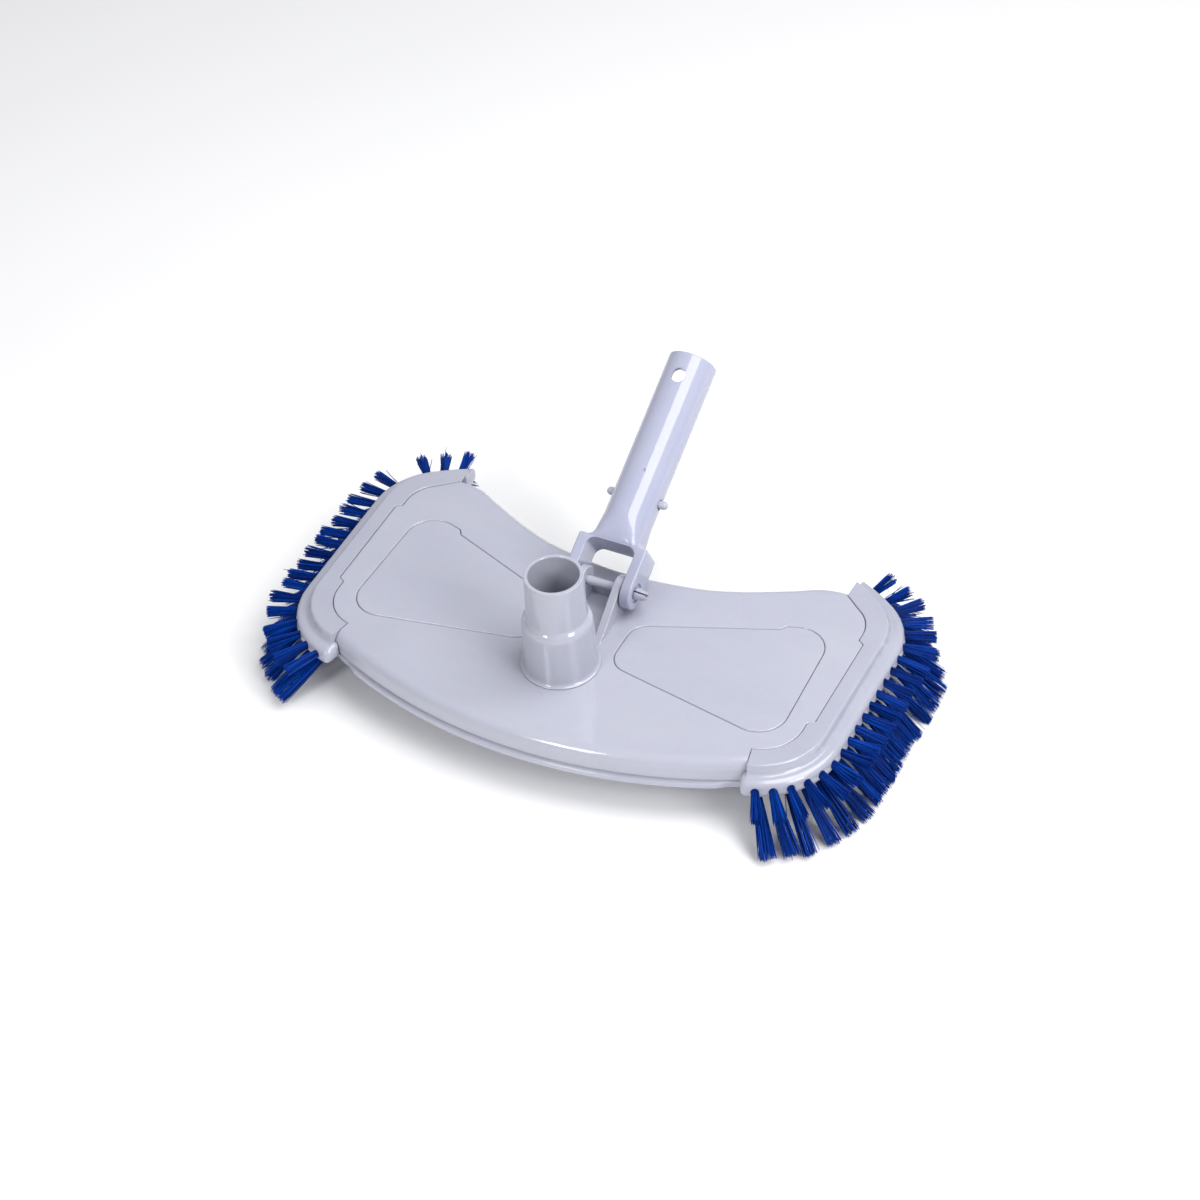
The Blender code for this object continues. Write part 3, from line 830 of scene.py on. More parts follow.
# Plan of the head ------------------------------------------------------------------------
@dataclass(frozen=True)
class ArmStation:
    """One step along an arm's path."""
    pivot: tuple[float, float]
    wall: float
    angle: float
    seam: float

    def at(self, inset: float, z: float) -> tuple[float, float, float]:
        """The point at an inset from the arm's outer wall."""
        reach, turn = self.wall - inset, math.radians(self.angle)
        return (self.pivot[0] + reach * math.cos(turn), self.pivot[1] + reach * math.sin(turn), z)


@dataclass(frozen=True)
class HeadPlan:
    """Sizes that the shell, its covers and the arms share, seen from above."""
    front_radius: float = 0.286
    front_y: float = -0.0587
    rear_edge: tuple[tuple[float, float], ...] = (
        (0.0, 0.0808), (0.040, 0.0849), (0.065, 0.0921), (0.091, 0.1038), (0.106, 0.1114), (0.118, 0.1137))
    front_pivot: tuple[float, float] = (0.1183, 0.0045)
    front_wall: float = 0.0455
    rear_pivot: tuple[float, float] = (0.1218, 0.0840)
    rear_wall: float = 0.0420
    arm_to_body: float = 0.0115
    seam_straight: float = 0.0178
    seam_front: float = 0.0213
    seam_rear: float = 0.0212
    rear_flare: float = 0.0048
    flare_start: float = 55.0
    seam_steps: tuple[float, float] = (0.0095, 0.0765)
    seam_step_length: float = 0.003
    arm_angles: tuple[float, float] = (-78.0, 88.0)
    cover_step_x: float = 0.0995
    cover_corners: tuple[tuple[float, float, float], ...] = (
        (0.0244, 0.0090, 0.012), (0.1315, -0.0106, 0.016), (0.1280, 0.0810, 0.016), (0.0244, 0.0414, 0.012))

    def half_edge(self, detail: int) -> tuple[Outline, list[float]]:
        """The shell's edge on the right, front middle to rear middle.

        Args:
            detail: multiplies the number of points.

        Returns:
            Its points, and how far each belongs to the end that an arm wraps.
        """
        points: Outline = []
        for k in range(12 * detail + 1):
            x = 0.128 * k / (12 * detail)
            points.append((x, self.front_y + self.front_radius - math.sqrt(self.front_radius ** 2 - x * x)))
        points += arc(self.front_pivot, self.front_wall - self.arm_to_body, -55.0, 0.0, 6 * detail)
        points += arc(self.rear_pivot, self.rear_wall - self.arm_to_body, 0.0, 55.0, 6 * detail)
        points.append((0.127, 0.1138))
        points += list(reversed(spline(list(self.rear_edge), 3 * detail)))
        return points, [min(1.0, max(0.0, (x - 0.110) / 0.006)) for x, _ in points]

    def edge(self, free_inset: float, end_inset: float, detail: int = 5) -> Outline:
        """The whole shell edge moved inward.

        Args:
            free_inset: inset along the free front and rear edges.
            end_inset: inset at the ends.
            detail: multiplies the number of points; a deep inset needs 1.

        Returns:
            The outline, counter-clockwise.
        """
        right, weights = self.half_edge(detail)
        points = right + [(-x, y) for x, y in reversed(right[1:-1])]
        weights = weights + list(reversed(weights[1:-1]))
        result: Outline = []
        for i, (x, y) in enumerate(points):
            along = (Vector(points[(i + 1) % len(points)]) - Vector(points[i - 1])).normalized()
            inset = free_inset + (end_inset - free_inset) * weights[i]
            result.append((x - along.y * inset, y + along.x * inset))
        return result

    def rear_station(self, angle: float, seam: float) -> ArmStation:
        """A station on the rear corner, whose wall flares a little towards the arm's end.

        Args:
            angle: the station's angle in degrees.
            seam: inset of the seam there.

        Returns:
            The station.
        """
        share = max(0.0, (angle - self.flare_start) / (self.arm_angles[1] - self.flare_start))
        return ArmStation(self.rear_pivot, self.rear_wall + self.rear_flare * share ** 2, angle, seam)

    def stations(self, extra: float = 0.0, steps: int = 28) -> list[ArmStation]:
        """The right arm's path from front to rear.

        Args:
            extra: degrees added beyond each end.
            steps: steps round each corner.

        Returns:
            The stations in order.
        """
        first, last = self.arm_angles[0] - extra, self.arm_angles[1] + extra
        path = [ArmStation(self.front_pivot, self.front_wall, first * (1.0 - k / steps), self.seam_front)
                for k in range(steps + 1)]
        x0, x1 = self.front_pivot[0], self.rear_pivot[0]
        front_step, rear_step = self.seam_steps
        length = self.seam_step_length
        for k in range(5):
            blend = 0.5 - 0.5 * math.cos(math.pi * k / 4)
            seam = self.seam_front + (self.seam_straight - self.seam_front) * blend
            path.append(ArmStation((x0, front_step + length * k / 4), self.front_wall, 0.0, seam))
        run_start = front_step + length
        for k in range(1, 8):
            y = run_start + (rear_step - run_start) * k / 8
            path.append(ArmStation((x0, y), self.front_wall, 0.0, self.seam_straight))
        for k in range(5):
            blend = 0.5 - 0.5 * math.cos(math.pi * k / 4)
            seam = self.seam_straight + (self.seam_rear - self.seam_straight) * blend
            path.append(ArmStation((x1, rear_step + length * k / 4), self.rear_wall, 0.0, seam))
        path += [self.rear_station(last * k / steps, self.seam_rear) for k in range(steps + 1)]
        return path

    def cover(self, grow: float) -> Outline:
        """A weight cover's outline, with the small step in its rear edge.

        Args:
            grow: distance outward.

        Returns:
            The outline on the right.
        """
        (x0, y0, r0), (x1, y1, r1), (x2, y2, r2), (x3, y3, r3) = self.cover_corners
        step_x = self.cover_step_x
        step_y = y3 + (y2 - y3) / (x2 - x3) * (step_x - x3)
        corners = [(x0, y0, r0), (x1, y1, r1), (x2, y2 + 0.001, r2),
                   (step_x + 0.0025, step_y + 0.0036, 0.0012), (step_x, step_y, 0.0012), (x3, y3, r3)]
        return grown(rounded(corners, 12), grow)


# Sub-assemblies ----------------------------------------------------------------------------
@dataclass
class BodyShell:
    """Deck, rounded shoulder, skirt and lip, with the hinge ears moulded on."""
    bench: Bench
    plan: HeadPlan
    depth: float = 0.018
    shoulder: float = 0.006
    deck: float = 0.0035
    wall: float = 0.005
    end_wall: float = 0.011
    rebate: float = 0.004
    edge_round: float = 0.0008
    cover_recess: float = 0.0021
    port_hole: float = 0.0186
    ear_span: tuple[float, float] = (0.0091, 0.0137)
    ear_radius: float = 0.0077
    ear_front: float = 0.0208
    ear_rear: float = 0.0605
    pin_hole: float = 0.0028
    boss_radius: float = 0.0042
    boss_end: float = -0.0147
    bosses: tuple[tuple[float, float], ...] = ((0.030, -0.042), (0.100, -0.024), (0.060, 0.072))
    web_front: float = 0.0568
    web_height: float = 0.0080

    def skin(self) -> Solid:
        """The outer surface, from the lip up over the shoulder.

        Returns:
            The surface as a closed shape, not yet hollow.
        """
        profile = [(self.shoulder * (1.0 - s), -self.shoulder * (1.0 - c)) for s, c in quarter(10)]
        profile += [(0.0, -0.0121), (0.0001, -0.0125), (0.0004, -0.0128), (0.0007, -0.0130),
                    (0.0007, -0.0136)]
        lip = [(0.0002, -0.01385), (-0.0009, -0.0139), (-0.0014, -0.0141), (-0.0017, -0.0145),
               (-0.0018, -0.0149), (-0.0018, -0.0168), (-0.0017, -0.0173), (-0.0014, -0.0177),
               (-0.0008, -self.depth)]
        rings = [[(x, y, z) for x, y in self.plan.edge(inset, inset)] for inset, z in profile]
        rings += [[(x, y, z) for x, y in self.plan.edge(inset, 0.0)] for inset, z in lip]
        rings.reverse()
        return loft(rings)

    def ear(self) -> Solid:
        """One triangular hinge ear with a round top and softened edges.

        Returns:
            The right ear.
        """
        pin_y, pin_z = self.bench.pin.y, self.bench.pin.z
        reach = math.hypot(pin_y - self.ear_front, pin_z)
        lean = math.degrees(math.atan2(pin_z, pin_y - self.ear_front) + math.asin(self.ear_radius / reach))
        side = [(self.ear_front - 0.0016, -0.001), (self.ear_rear, -0.001), (self.ear_rear, pin_z)]
        side += arc((pin_y, pin_z), self.ear_radius, 8.0, 90.0 + lean, 36)
        low, high = self.ear_span
        return slab(side, low, high, 0.0006, 0.0004).on_edge()

    def rebate_cut(self) -> Solid:
        """The step that an arm's top flange drops into, with a softened edge.

        Returns:
            The cutter on the right.
        """
        path = self.plan.stations(1.0)
        rings: list[Ring] = []
        levels = [(0.0, -self.rebate)]
        levels += [(self.edge_round * (1.0 - c), -self.edge_round * (1.0 - s)) for s, c in quarter(3)]
        levels.append((self.edge_round, 0.005))
        for back, z in levels:
            inner = [s.at(s.seam + GAP + back, z) for s in path]
            rings.append(inner + [s.at(-0.01, z) for s in reversed(path)])
        return loft(rings)

    def build(self) -> bpy.types.Object:
        """Make the shell.

        Returns:
            The shell.
        """
        piece = self.bench.make("body_shell_moulding", self.skin(), Slot.SHELL)
        cavity = loft([[(x, y, z) for x, y in self.plan.edge(self.wall, self.end_wall, 1)]
                       for z in (-self.depth - 0.002, -self.deck)])
        posts = [rod(self.boss_radius, self.boss_end, -self.deck + 0.0005).shifted(x, y, 0.0)
                 for x, y in self.bosses]
        side, front, back = self.ear_span[0] + 0.001, self.web_front, self.ear_rear - 0.0009
        web = slab([(-side, front), (side, front), (side, back), (-side, back)],
                   -0.0014, self.web_height, 0.0005)
        pocket = recess(self.plan.cover(GAP), -self.cover_recess, 0.0, self.edge_round)
        bore = through_hole(self.pin_hole, self.ear_span[1], 0.0004).along_x()
        self.bench.shape(piece, [
            (Carve.CUT, cavity),
            (Carve.JOIN, posts[0].joined(*posts[1:]).both_sides()),
            (Carve.JOIN, self.ear().both_sides()),
            (Carve.JOIN, web),
            (Carve.CUT, rod(self.port_hole, -0.010, 0.005, 96)),
            (Carve.CUT, pocket.both_sides()),
            (Carve.CUT, self.rebate_cut().both_sides()),
            (Carve.CUT, bore.through(Matrix.Translation(self.bench.pin))),
        ])
        return self.bench.hand_over(piece, Body.HEAD, ["body_shell"], Slot.SHELL)


@dataclass
class HoseSpigot:
    """Stepped hose spigot with its down tube through the deck."""
    bench: Bench
    height: float = 0.065
    rim_radius: float = 0.01625
    rim_bore: float = 0.0139
    tube_radius: float = 0.0183
    tube_bottom: float = -0.0170
    segments: int = 144

    def profile(self) -> Outline:
        """The section, from the rim's inner edge down the outside and back up the bore.

        Returns:
            (radius, height) points.
        """
        top = self.height
        outline = [(self.rim_bore, top - 0.0007), (self.rim_bore + 0.0001, top - 0.0003),
                   (self.rim_bore + 0.0004, top), (self.rim_radius - 0.0007, top),
                   (self.rim_radius - 0.0003, top - 0.0001), (self.rim_radius - 0.0001, top - 0.0004),
                   (self.rim_radius, top - 0.0009)]
        outline += [(self.rim_radius + (0.0169 - self.rim_radius) * k / 6, top - 0.0009 - 0.0265 * k / 6)
                    for k in range(1, 7)]
        outline += catmull([(0.0168, 0.0400), (0.0169, 0.0376), (0.0171, 0.0366), (0.0177, 0.0357),
                            (0.0187, 0.0343), (0.0193, 0.0328), (0.0196, 0.0308), (0.0197, 0.0280)], 4)
        outline += [(0.0196 + 0.0008 * k / 6, 0.0308 - 0.0268 * k / 6) for k in range(1, 7)]
        outline += catmull([(0.02037, 0.0050), (0.02045, 0.0030), (0.0207, 0.0020), (0.0212, 0.00135),
                            (0.0218, 0.0010), (0.0221, 0.0008), (0.0222, 0.0005), (0.0222, 0.0001)], 3)
        outline += [(0.0222, GAP), (self.tube_radius, GAP), (self.tube_radius, self.tube_bottom),
                    (0.0153, self.tube_bottom), (0.0150, self.tube_bottom + 0.0004),
                    (0.0150, 0.0310), (0.0147, 0.0330), (0.0142, 0.0345), (self.rim_bore, 0.0360)]
        return outline

    def build(self) -> bpy.types.Object:
        """Make the spigot.

        Returns:
            The spigot.
        """
        solid = lathe(list(reversed(self.profile())), self.segments)
        piece = self.bench.make("hose_spigot_moulding", solid, Slot.SPIGOT)
        return self.bench.hand_over(piece, Body.HEAD, ["hose_spigot"], Slot.SPIGOT)


@dataclass
class WeightCovers:
    """Flush covers over the ballast weights, and the iron weights themselves."""
    bench: Bench
    plan: HeadPlan
    thickness: float = 0.0018
    edge_round: float = 0.0007

    def build(self) -> list[bpy.types.Object]:
        """Make both covers and finish the weights.

        Returns:
            The two covers.
        """
        made = []
        for side in Side:
            cover = slab(self.plan.cover(0.0), -self.thickness, 0.0, self.edge_round).on(side)
            piece = self.bench.make(f"weight_cover_{side.value}_moulding", cover, Slot.COVER)
            made.append(self.bench.hand_over(piece, Body.HEAD, [f"weight_cover_{side.value}"], Slot.COVER))
            weight = frame["nodes"][f"ballast_weight_{side.value}"]
            weight.data.materials[0] = self.bench.finishes[Slot.IRON]
        return made


@dataclass
class BrushArm:
    """C-shaped arm that wraps one end of the shell and carries two rows of tufts."""
    bench: Bench
    plan: HeadPlan
    side: Side
    tuft_count: int = 21
    first_tuft: float = 0.0059
    last_tuft: float = 0.0070
    hole_radius: float = 0.0023
    hole_depth: float = 0.0030
    upper_hole_tilt: float = 94.0
    lower_hole_tilt: float = 140.0
    upper_height: float = -0.0104
    lower_inset: float = 0.0055
    bottom: float = -0.0150
    front_bulge: float = 0.0032
    rear_bulge: float = 0.0006

    def section(self, station: ArmStation) -> Ring:
        """The arm's section at one station: flange, step, bristle block and inner face.

        Args:
            station: where along the arm.

        Returns:
            The section's points.
        """
        seam, inner = station.seam, self.plan.arm_to_body - GAP
        crown = [(seam, -0.0004), (seam - 0.0001, -0.0001), (seam - 0.0003, 0.00015),
                 (seam - 0.0006, 0.0003)]
        curve = catmull([(0.0110, 0.0003), (0.0100, 0.0003), (0.0093, 0.0001), (0.0088, -0.0005),
                         (0.0083, -0.0017), (0.0078, -0.0031), (0.0071, -0.0044), (0.0062, -0.0051),
                         (0.0048, -0.0053), (0.0032, -0.0055), (0.0014, -0.0063), (0.0003, -0.0078),
                         (-0.0002, -0.0100), (-0.0004, -0.0122), (-0.0001, -0.0136), (0.0009, -0.0146),
                         (0.0024, self.bottom), (0.0040, self.bottom)], 3)
        section = crown + curve + [(inner, self.bottom), (inner, GAP - 0.004), (seam, GAP - 0.004)]
        return [station.at(inset, z) for inset, z in section]

    def bulb(self, station: ArmStation, bulge: float) -> Solid:
        """The bristle block's rounded end.

        Args:
            station: the arm's last station at that end.
            bulge: how far it reaches along the arm's turning sense; negative at the front end.

        Returns:
            The rounded end, which starts a little inside the arm.
        """
        core = [(inset, z) for inset, z in catmull(
            [(0.0060, -0.0053), (0.0058, -0.0054), (0.0034, -0.0056), (0.0012, -0.0066), (0.0000, -0.0086),
             (-0.0003, -0.0122), (0.0005, -0.0141), (0.0026, self.bottom + 0.0001),
             (0.0100, self.bottom + 0.0001),
             (0.0110, -0.0140), (0.0110, -0.0066), (0.0100, -0.0056), (0.0060, -0.0053),
              (0.0058, -0.0054)], 3)]
        middle = (0.0056, -0.0102)
        turn = math.radians(station.angle)
        along = Vector((-math.sin(turn), math.cos(turn), 0.0)) * math.copysign(1.0, bulge)
        rings: list[Ring] = []
        for step in range(9):
            swing = math.pi / 2 * max(0.0, (step - 1) / 7.2)
            shrink = max(0.06, math.cos(swing)) ** 0.8
            travel = -0.0006 if step == 0 else abs(bulge) * math.sin(swing)
            rings.append([tuple(Vector(station.at(middle[0] + (inset - middle[0]) * shrink,
                                                  middle[1] + (z - middle[1]) * shrink)) + along * travel)
                          for inset, z in core[:-1]])
        return loft(rings)

    def tufts(self, tier: Tier) -> list[tuple[Vector, float]]:
        """Where tufts leave the arm.

        Args:
            tier: which row.

        Returns:
            The middle of each tuft's root on the right arm, and the arm's angle there in degrees.
        """
        first, last = self.plan.arm_angles
        front = math.radians(-first) * self.plan.front_wall
        straight = self.plan.rear_pivot[1] - self.plan.front_pivot[1]
        rear = math.radians(last) * self.plan.rear_wall
        step = (front + straight + rear - self.first_tuft - self.last_tuft) / (self.tuft_count - 1)
        roots = []
        for k in range(self.tuft_count):
            run = self.first_tuft + step * k
            if run < front:
                station = ArmStation(self.plan.front_pivot, self.plan.front_wall,
                                     first + math.degrees(run / self.plan.front_wall), 0.0)
            elif run < front + straight:
                station = ArmStation((self.plan.front_pivot[0], self.plan.front_pivot[1] + run - front),
                                     self.plan.front_wall, 0.0, 0.0)
            else:
                angle = math.degrees((run - front - straight) / self.plan.rear_wall)
                station = self.plan.rear_station(angle, 0.0)
            root = (station.at(0.0, self.upper_height) if tier is Tier.UPPER
                    else station.at(self.lower_inset, self.bottom))
            roots.append((Vector(root), station.angle))
        return roots

    def tuft_holes(self) -> Solid:
        """Cutters for the sockets that the tufts are set in.

        Returns:
            All the cutters on the right arm.
        """
        cutters = []
        for tier, tilt, reach in ((Tier.UPPER, self.upper_hole_tilt, 0.003),
                                  (Tier.LOWER, self.lower_hole_tilt, 0.004)):
            lean = Matrix.Rotation(math.radians(tilt), 4, "Y")
            for root, angle in self.tufts(tier):
                aim = Matrix.Rotation(math.radians(angle), 4, "Z") @ lean
                cutters.append(rod(self.hole_radius, -self.hole_depth, reach, 20)
                               .through(Matrix.Translation(root) @ aim))
        return cutters[0].joined(*cutters[1:])

    def build(self) -> bpy.types.Object:
        """Make the arm.

        Returns:
            The arm.
        """
        path = self.plan.stations()
        arm = loft([self.section(station) for station in path])
        name = f"brush_arm_{self.side.value}"
        piece = self.bench.make(f"{name}_moulding", arm.on(self.side), Slot.ARM)
        seat = loft([[(x, y, z) for x, y in self.plan.edge(-GAP, -GAP)] for z in (-0.03, GAP - 0.004)])
        self.bench.shape(piece, [
            (Carve.JOIN, self.bulb(path[0], -self.front_bulge).on(self.side)),
            (Carve.JOIN, self.bulb(path[-1], self.rear_bulge).on(self.side)),
            (Carve.CUT, seat),
            (Carve.CUT, self.tuft_holes().on(self.side)),
        ])
        return self.bench.hand_over(piece, Body.HEAD, [name], Slot.ARM)


@dataclass
class BristleRow:
    """One row of nylon tufts, filament by filament."""
    bench: Bench
    arm: BrushArm
    tier: Tier
    seed: int
    missing: tuple[int, ...] = ()
    filaments: int = 84
    thickness: float = 0.00023
    root_radius: float = 0.0020
    upper_length: float = 0.0182
    lower_length: float = 0.0375
    root_sink: float = 0.0026
    upper_splay: float = 0.070
    lower_splay: float = 0.058
    stray_share: float = 0.016
    tip_taper: float = 0.62
    sides: int = 5
    steps: int = 6

    def aim(self, angle: float, rng: np.random.Generator) -> tuple[np.ndarray, float]:
        """Direction and length of a tuft on the right arm.

        Args:
            angle: the arm's angle at the tuft, in degrees.
            rng: the row's random numbers.

        Returns:
            The unit direction, and the length.
        """
        ahead = max(0.0, -angle / 78.0)
        if self.tier is Tier.UPPER:
            drop = rng.uniform(3.0, 10.0)
            length = (self.upper_length + 0.0022 * ahead) * rng.uniform(0.96, 1.03)
            yaw = angle * (1.0 - 0.14 * ahead) - 2.0 + rng.normal(0.0, 2.6)
        else:
            drop, length = 43.5 - 9.0 * ahead ** 3 + rng.normal(0.0, 1.2), self.lower_length
            length *= rng.uniform(0.985, 1.01)
            yaw = angle * (0.94 - 0.22 * ahead) + rng.normal(0.0, 2.0)
        a, d = math.radians(yaw), math.radians(drop)
        return np.array([math.cos(a) * math.cos(d), math.sin(a) * math.cos(d), -math.sin(d)]), length

    def tuft(self, root: np.ndarray, aim: np.ndarray, length: float,
             rng: np.random.Generator) -> tuple[np.ndarray, np.ndarray]:
        """Curves of one tuft's filaments.

        Args:
            root: middle of the tuft where it leaves the arm.
            aim: the tuft's direction.
            length: the tuft's length.
            rng: the row's random numbers.

        Returns:
            Points (filament, step, xyz), and one tone from 0 to 1 for each filament.
        """
        count = self.filaments
        across = np.cross(aim, (0.0, 0.0, 1.0))
        across /= np.linalg.norm(across)
        up = np.cross(across, aim)
        turn = rng.uniform(0.0, 2.0 * math.pi, count)
        reach = np.sqrt(rng.uniform(0.0, 1.0, count))
        disc = reach[:, None] * (np.cos(turn)[:, None] * across + np.sin(turn)[:, None] * up)
        splay = self.upper_splay if self.tier is Tier.UPPER else self.lower_splay
        heading = aim + disc * splay * rng.uniform(0.6, 1.4) + rng.normal(0.0, 0.009, (count, 3))
        stray = rng.uniform(0.0, 1.0, count) < self.stray_share
        heading[stray] += rng.normal(0.0, 0.15, (int(stray.sum()), 3))
        heading /= np.linalg.norm(heading, axis=1)[:, None]
        bend = rng.normal(0.0, 0.012, (count, 3)) * length + rng.normal(0.0, 0.016, 3) * length
        bend[stray] *= 3.0
        bend[:, 2] -= 0.010 * length
        lengths = length * rng.uniform(0.965, 1.0, count)
        t = np.linspace(0.0, 1.0, self.steps)
        start = root + disc * self.root_radius - aim * self.root_sink
        points = (start[:, None] + heading[:, None] * ((lengths + self.root_sink)[:, None] * t)[..., None]
                  + bend[:, None] * (t ** 2)[None, :, None])
        return points, rng.uniform(0.0, 1.0, count)

    def settle(self, points: np.ndarray, low: Vector, high: Vector) -> np.ndarray:
        """Keep filaments above the floor and inside the row's reach.

        Args:
            points: filament points on the right arm.
            low: lower corner of the row's box about the port.
            high: upper corner of the row's box about the port.

        Returns:
            The points, with those that met the floor slid along it.
        """
        floor = self.bench.floor + self.thickness
        below = np.maximum(0.0, floor - points[..., 2])
        points[..., 2] = np.maximum(points[..., 2], floor)
        points[..., 0] += below * 0.3
        side_limit = max(abs(low.x), abs(high.x))
        points[..., 0] = np.minimum(points[..., 0], side_limit - self.thickness)
        points[..., 1] = np.clip(points[..., 1], low.y + self.thickness, high.y - self.thickness)
        return points

    def skin(self, points: np.ndarray) -> tuple[np.ndarray, np.ndarray, np.ndarray]:
        """Skin filament curves.

        Args:
            points: (filament, step, xyz) curves.

        Returns:
            Corner positions, quads as corner indices, and tip caps as corner indices.
        """
        count, steps = points.shape[:2]
        tangent = np.gradient(points, axis=1)
        tangent /= np.linalg.norm(tangent, axis=2)[..., None]
        side = np.cross(tangent, np.array([0.31, 0.52, 0.80]))
        side /= np.linalg.norm(side, axis=2)[..., None]
        over = np.cross(tangent, side)
        turns = np.arange(self.sides) * 2.0 * math.pi / self.sides
        radius = np.full(steps, self.thickness)
        radius[-1] *= self.tip_taper
        cosines, sines = np.cos(turns)[None, None, :, None], np.sin(turns)[None, None, :, None]
        ring = cosines * side[:, :, None] + sines * over[:, :, None]
        corners = points[:, :, None] + radius[None, :, None, None] * ring
        index = np.arange(count * steps * self.sides).reshape(count, steps, self.sides)
        ahead = np.roll(index, -1, axis=2)
        quads = np.stack([index[:, :-1], ahead[:, :-1], ahead[:, 1:], index[:, 1:]], axis=-1).reshape(-1, 4)
        caps = np.concatenate([index[:, 0, ::-1], index[:, -1]], axis=0)
        return corners.reshape(-1, 3), quads, caps

    def build(self) -> bpy.types.Object:
        """Make the row.

        Returns:
            The row's tufts as one piece.
        """
        rng = np.random.default_rng(self.seed)
        node = f"bristles_{self.tier.value}_{self.arm.side.value}"
        low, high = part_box(node)
        curves, tones = [], []
        for number, (root, angle) in enumerate(self.arm.tufts(self.tier)):
            aim, length = self.aim(angle, rng)
            points, tone = self.tuft(np.array(root), aim, length, rng)
            if number in self.missing:
                continue
            curves.append(points)
            tones.append(tone * rng.uniform(0.75, 1.0))
        points = self.settle(np.concatenate(curves), low - self.bench.port, high - self.bench.port)
        corners, quads, caps = self.skin(points)
        if self.arm.side is Side.LEFT:
            corners[:, 0] *= -1.0
            quads, caps = quads[:, ::-1], caps[:, ::-1]
        corners += np.array(self.bench.port)
        mesh = bpy.data.meshes.new(node)
        mesh.from_pydata(corners.tolist(), [], quads.tolist() + caps.tolist())
        strand = np.repeat(np.concatenate(tones), self.steps * self.sides)
        # The second channel runs from root to tip; the bristle finish reads it to paint shade near the roots.
        along = np.tile(np.repeat(np.linspace(0.0, 1.0, self.steps), self.sides), len(points))
        colour = np.stack([strand, along, np.zeros_like(strand), np.ones_like(strand)], axis=1)
        layer = mesh.color_attributes.new("strand", "FLOAT_COLOR", "POINT")
        layer.data.foreach_set("color", colour.astype(np.float32).ravel())
        mesh.materials.append(self.bench.finishes[Slot.BRISTLE])
        piece = bpy.data.objects.new(f"{node}_tufts", mesh)
        bpy.context.scene.collection.objects.link(piece)
        return self.bench.hand_over(piece, Body.HEAD, [node], Slot.BRISTLE, 60.0, False)


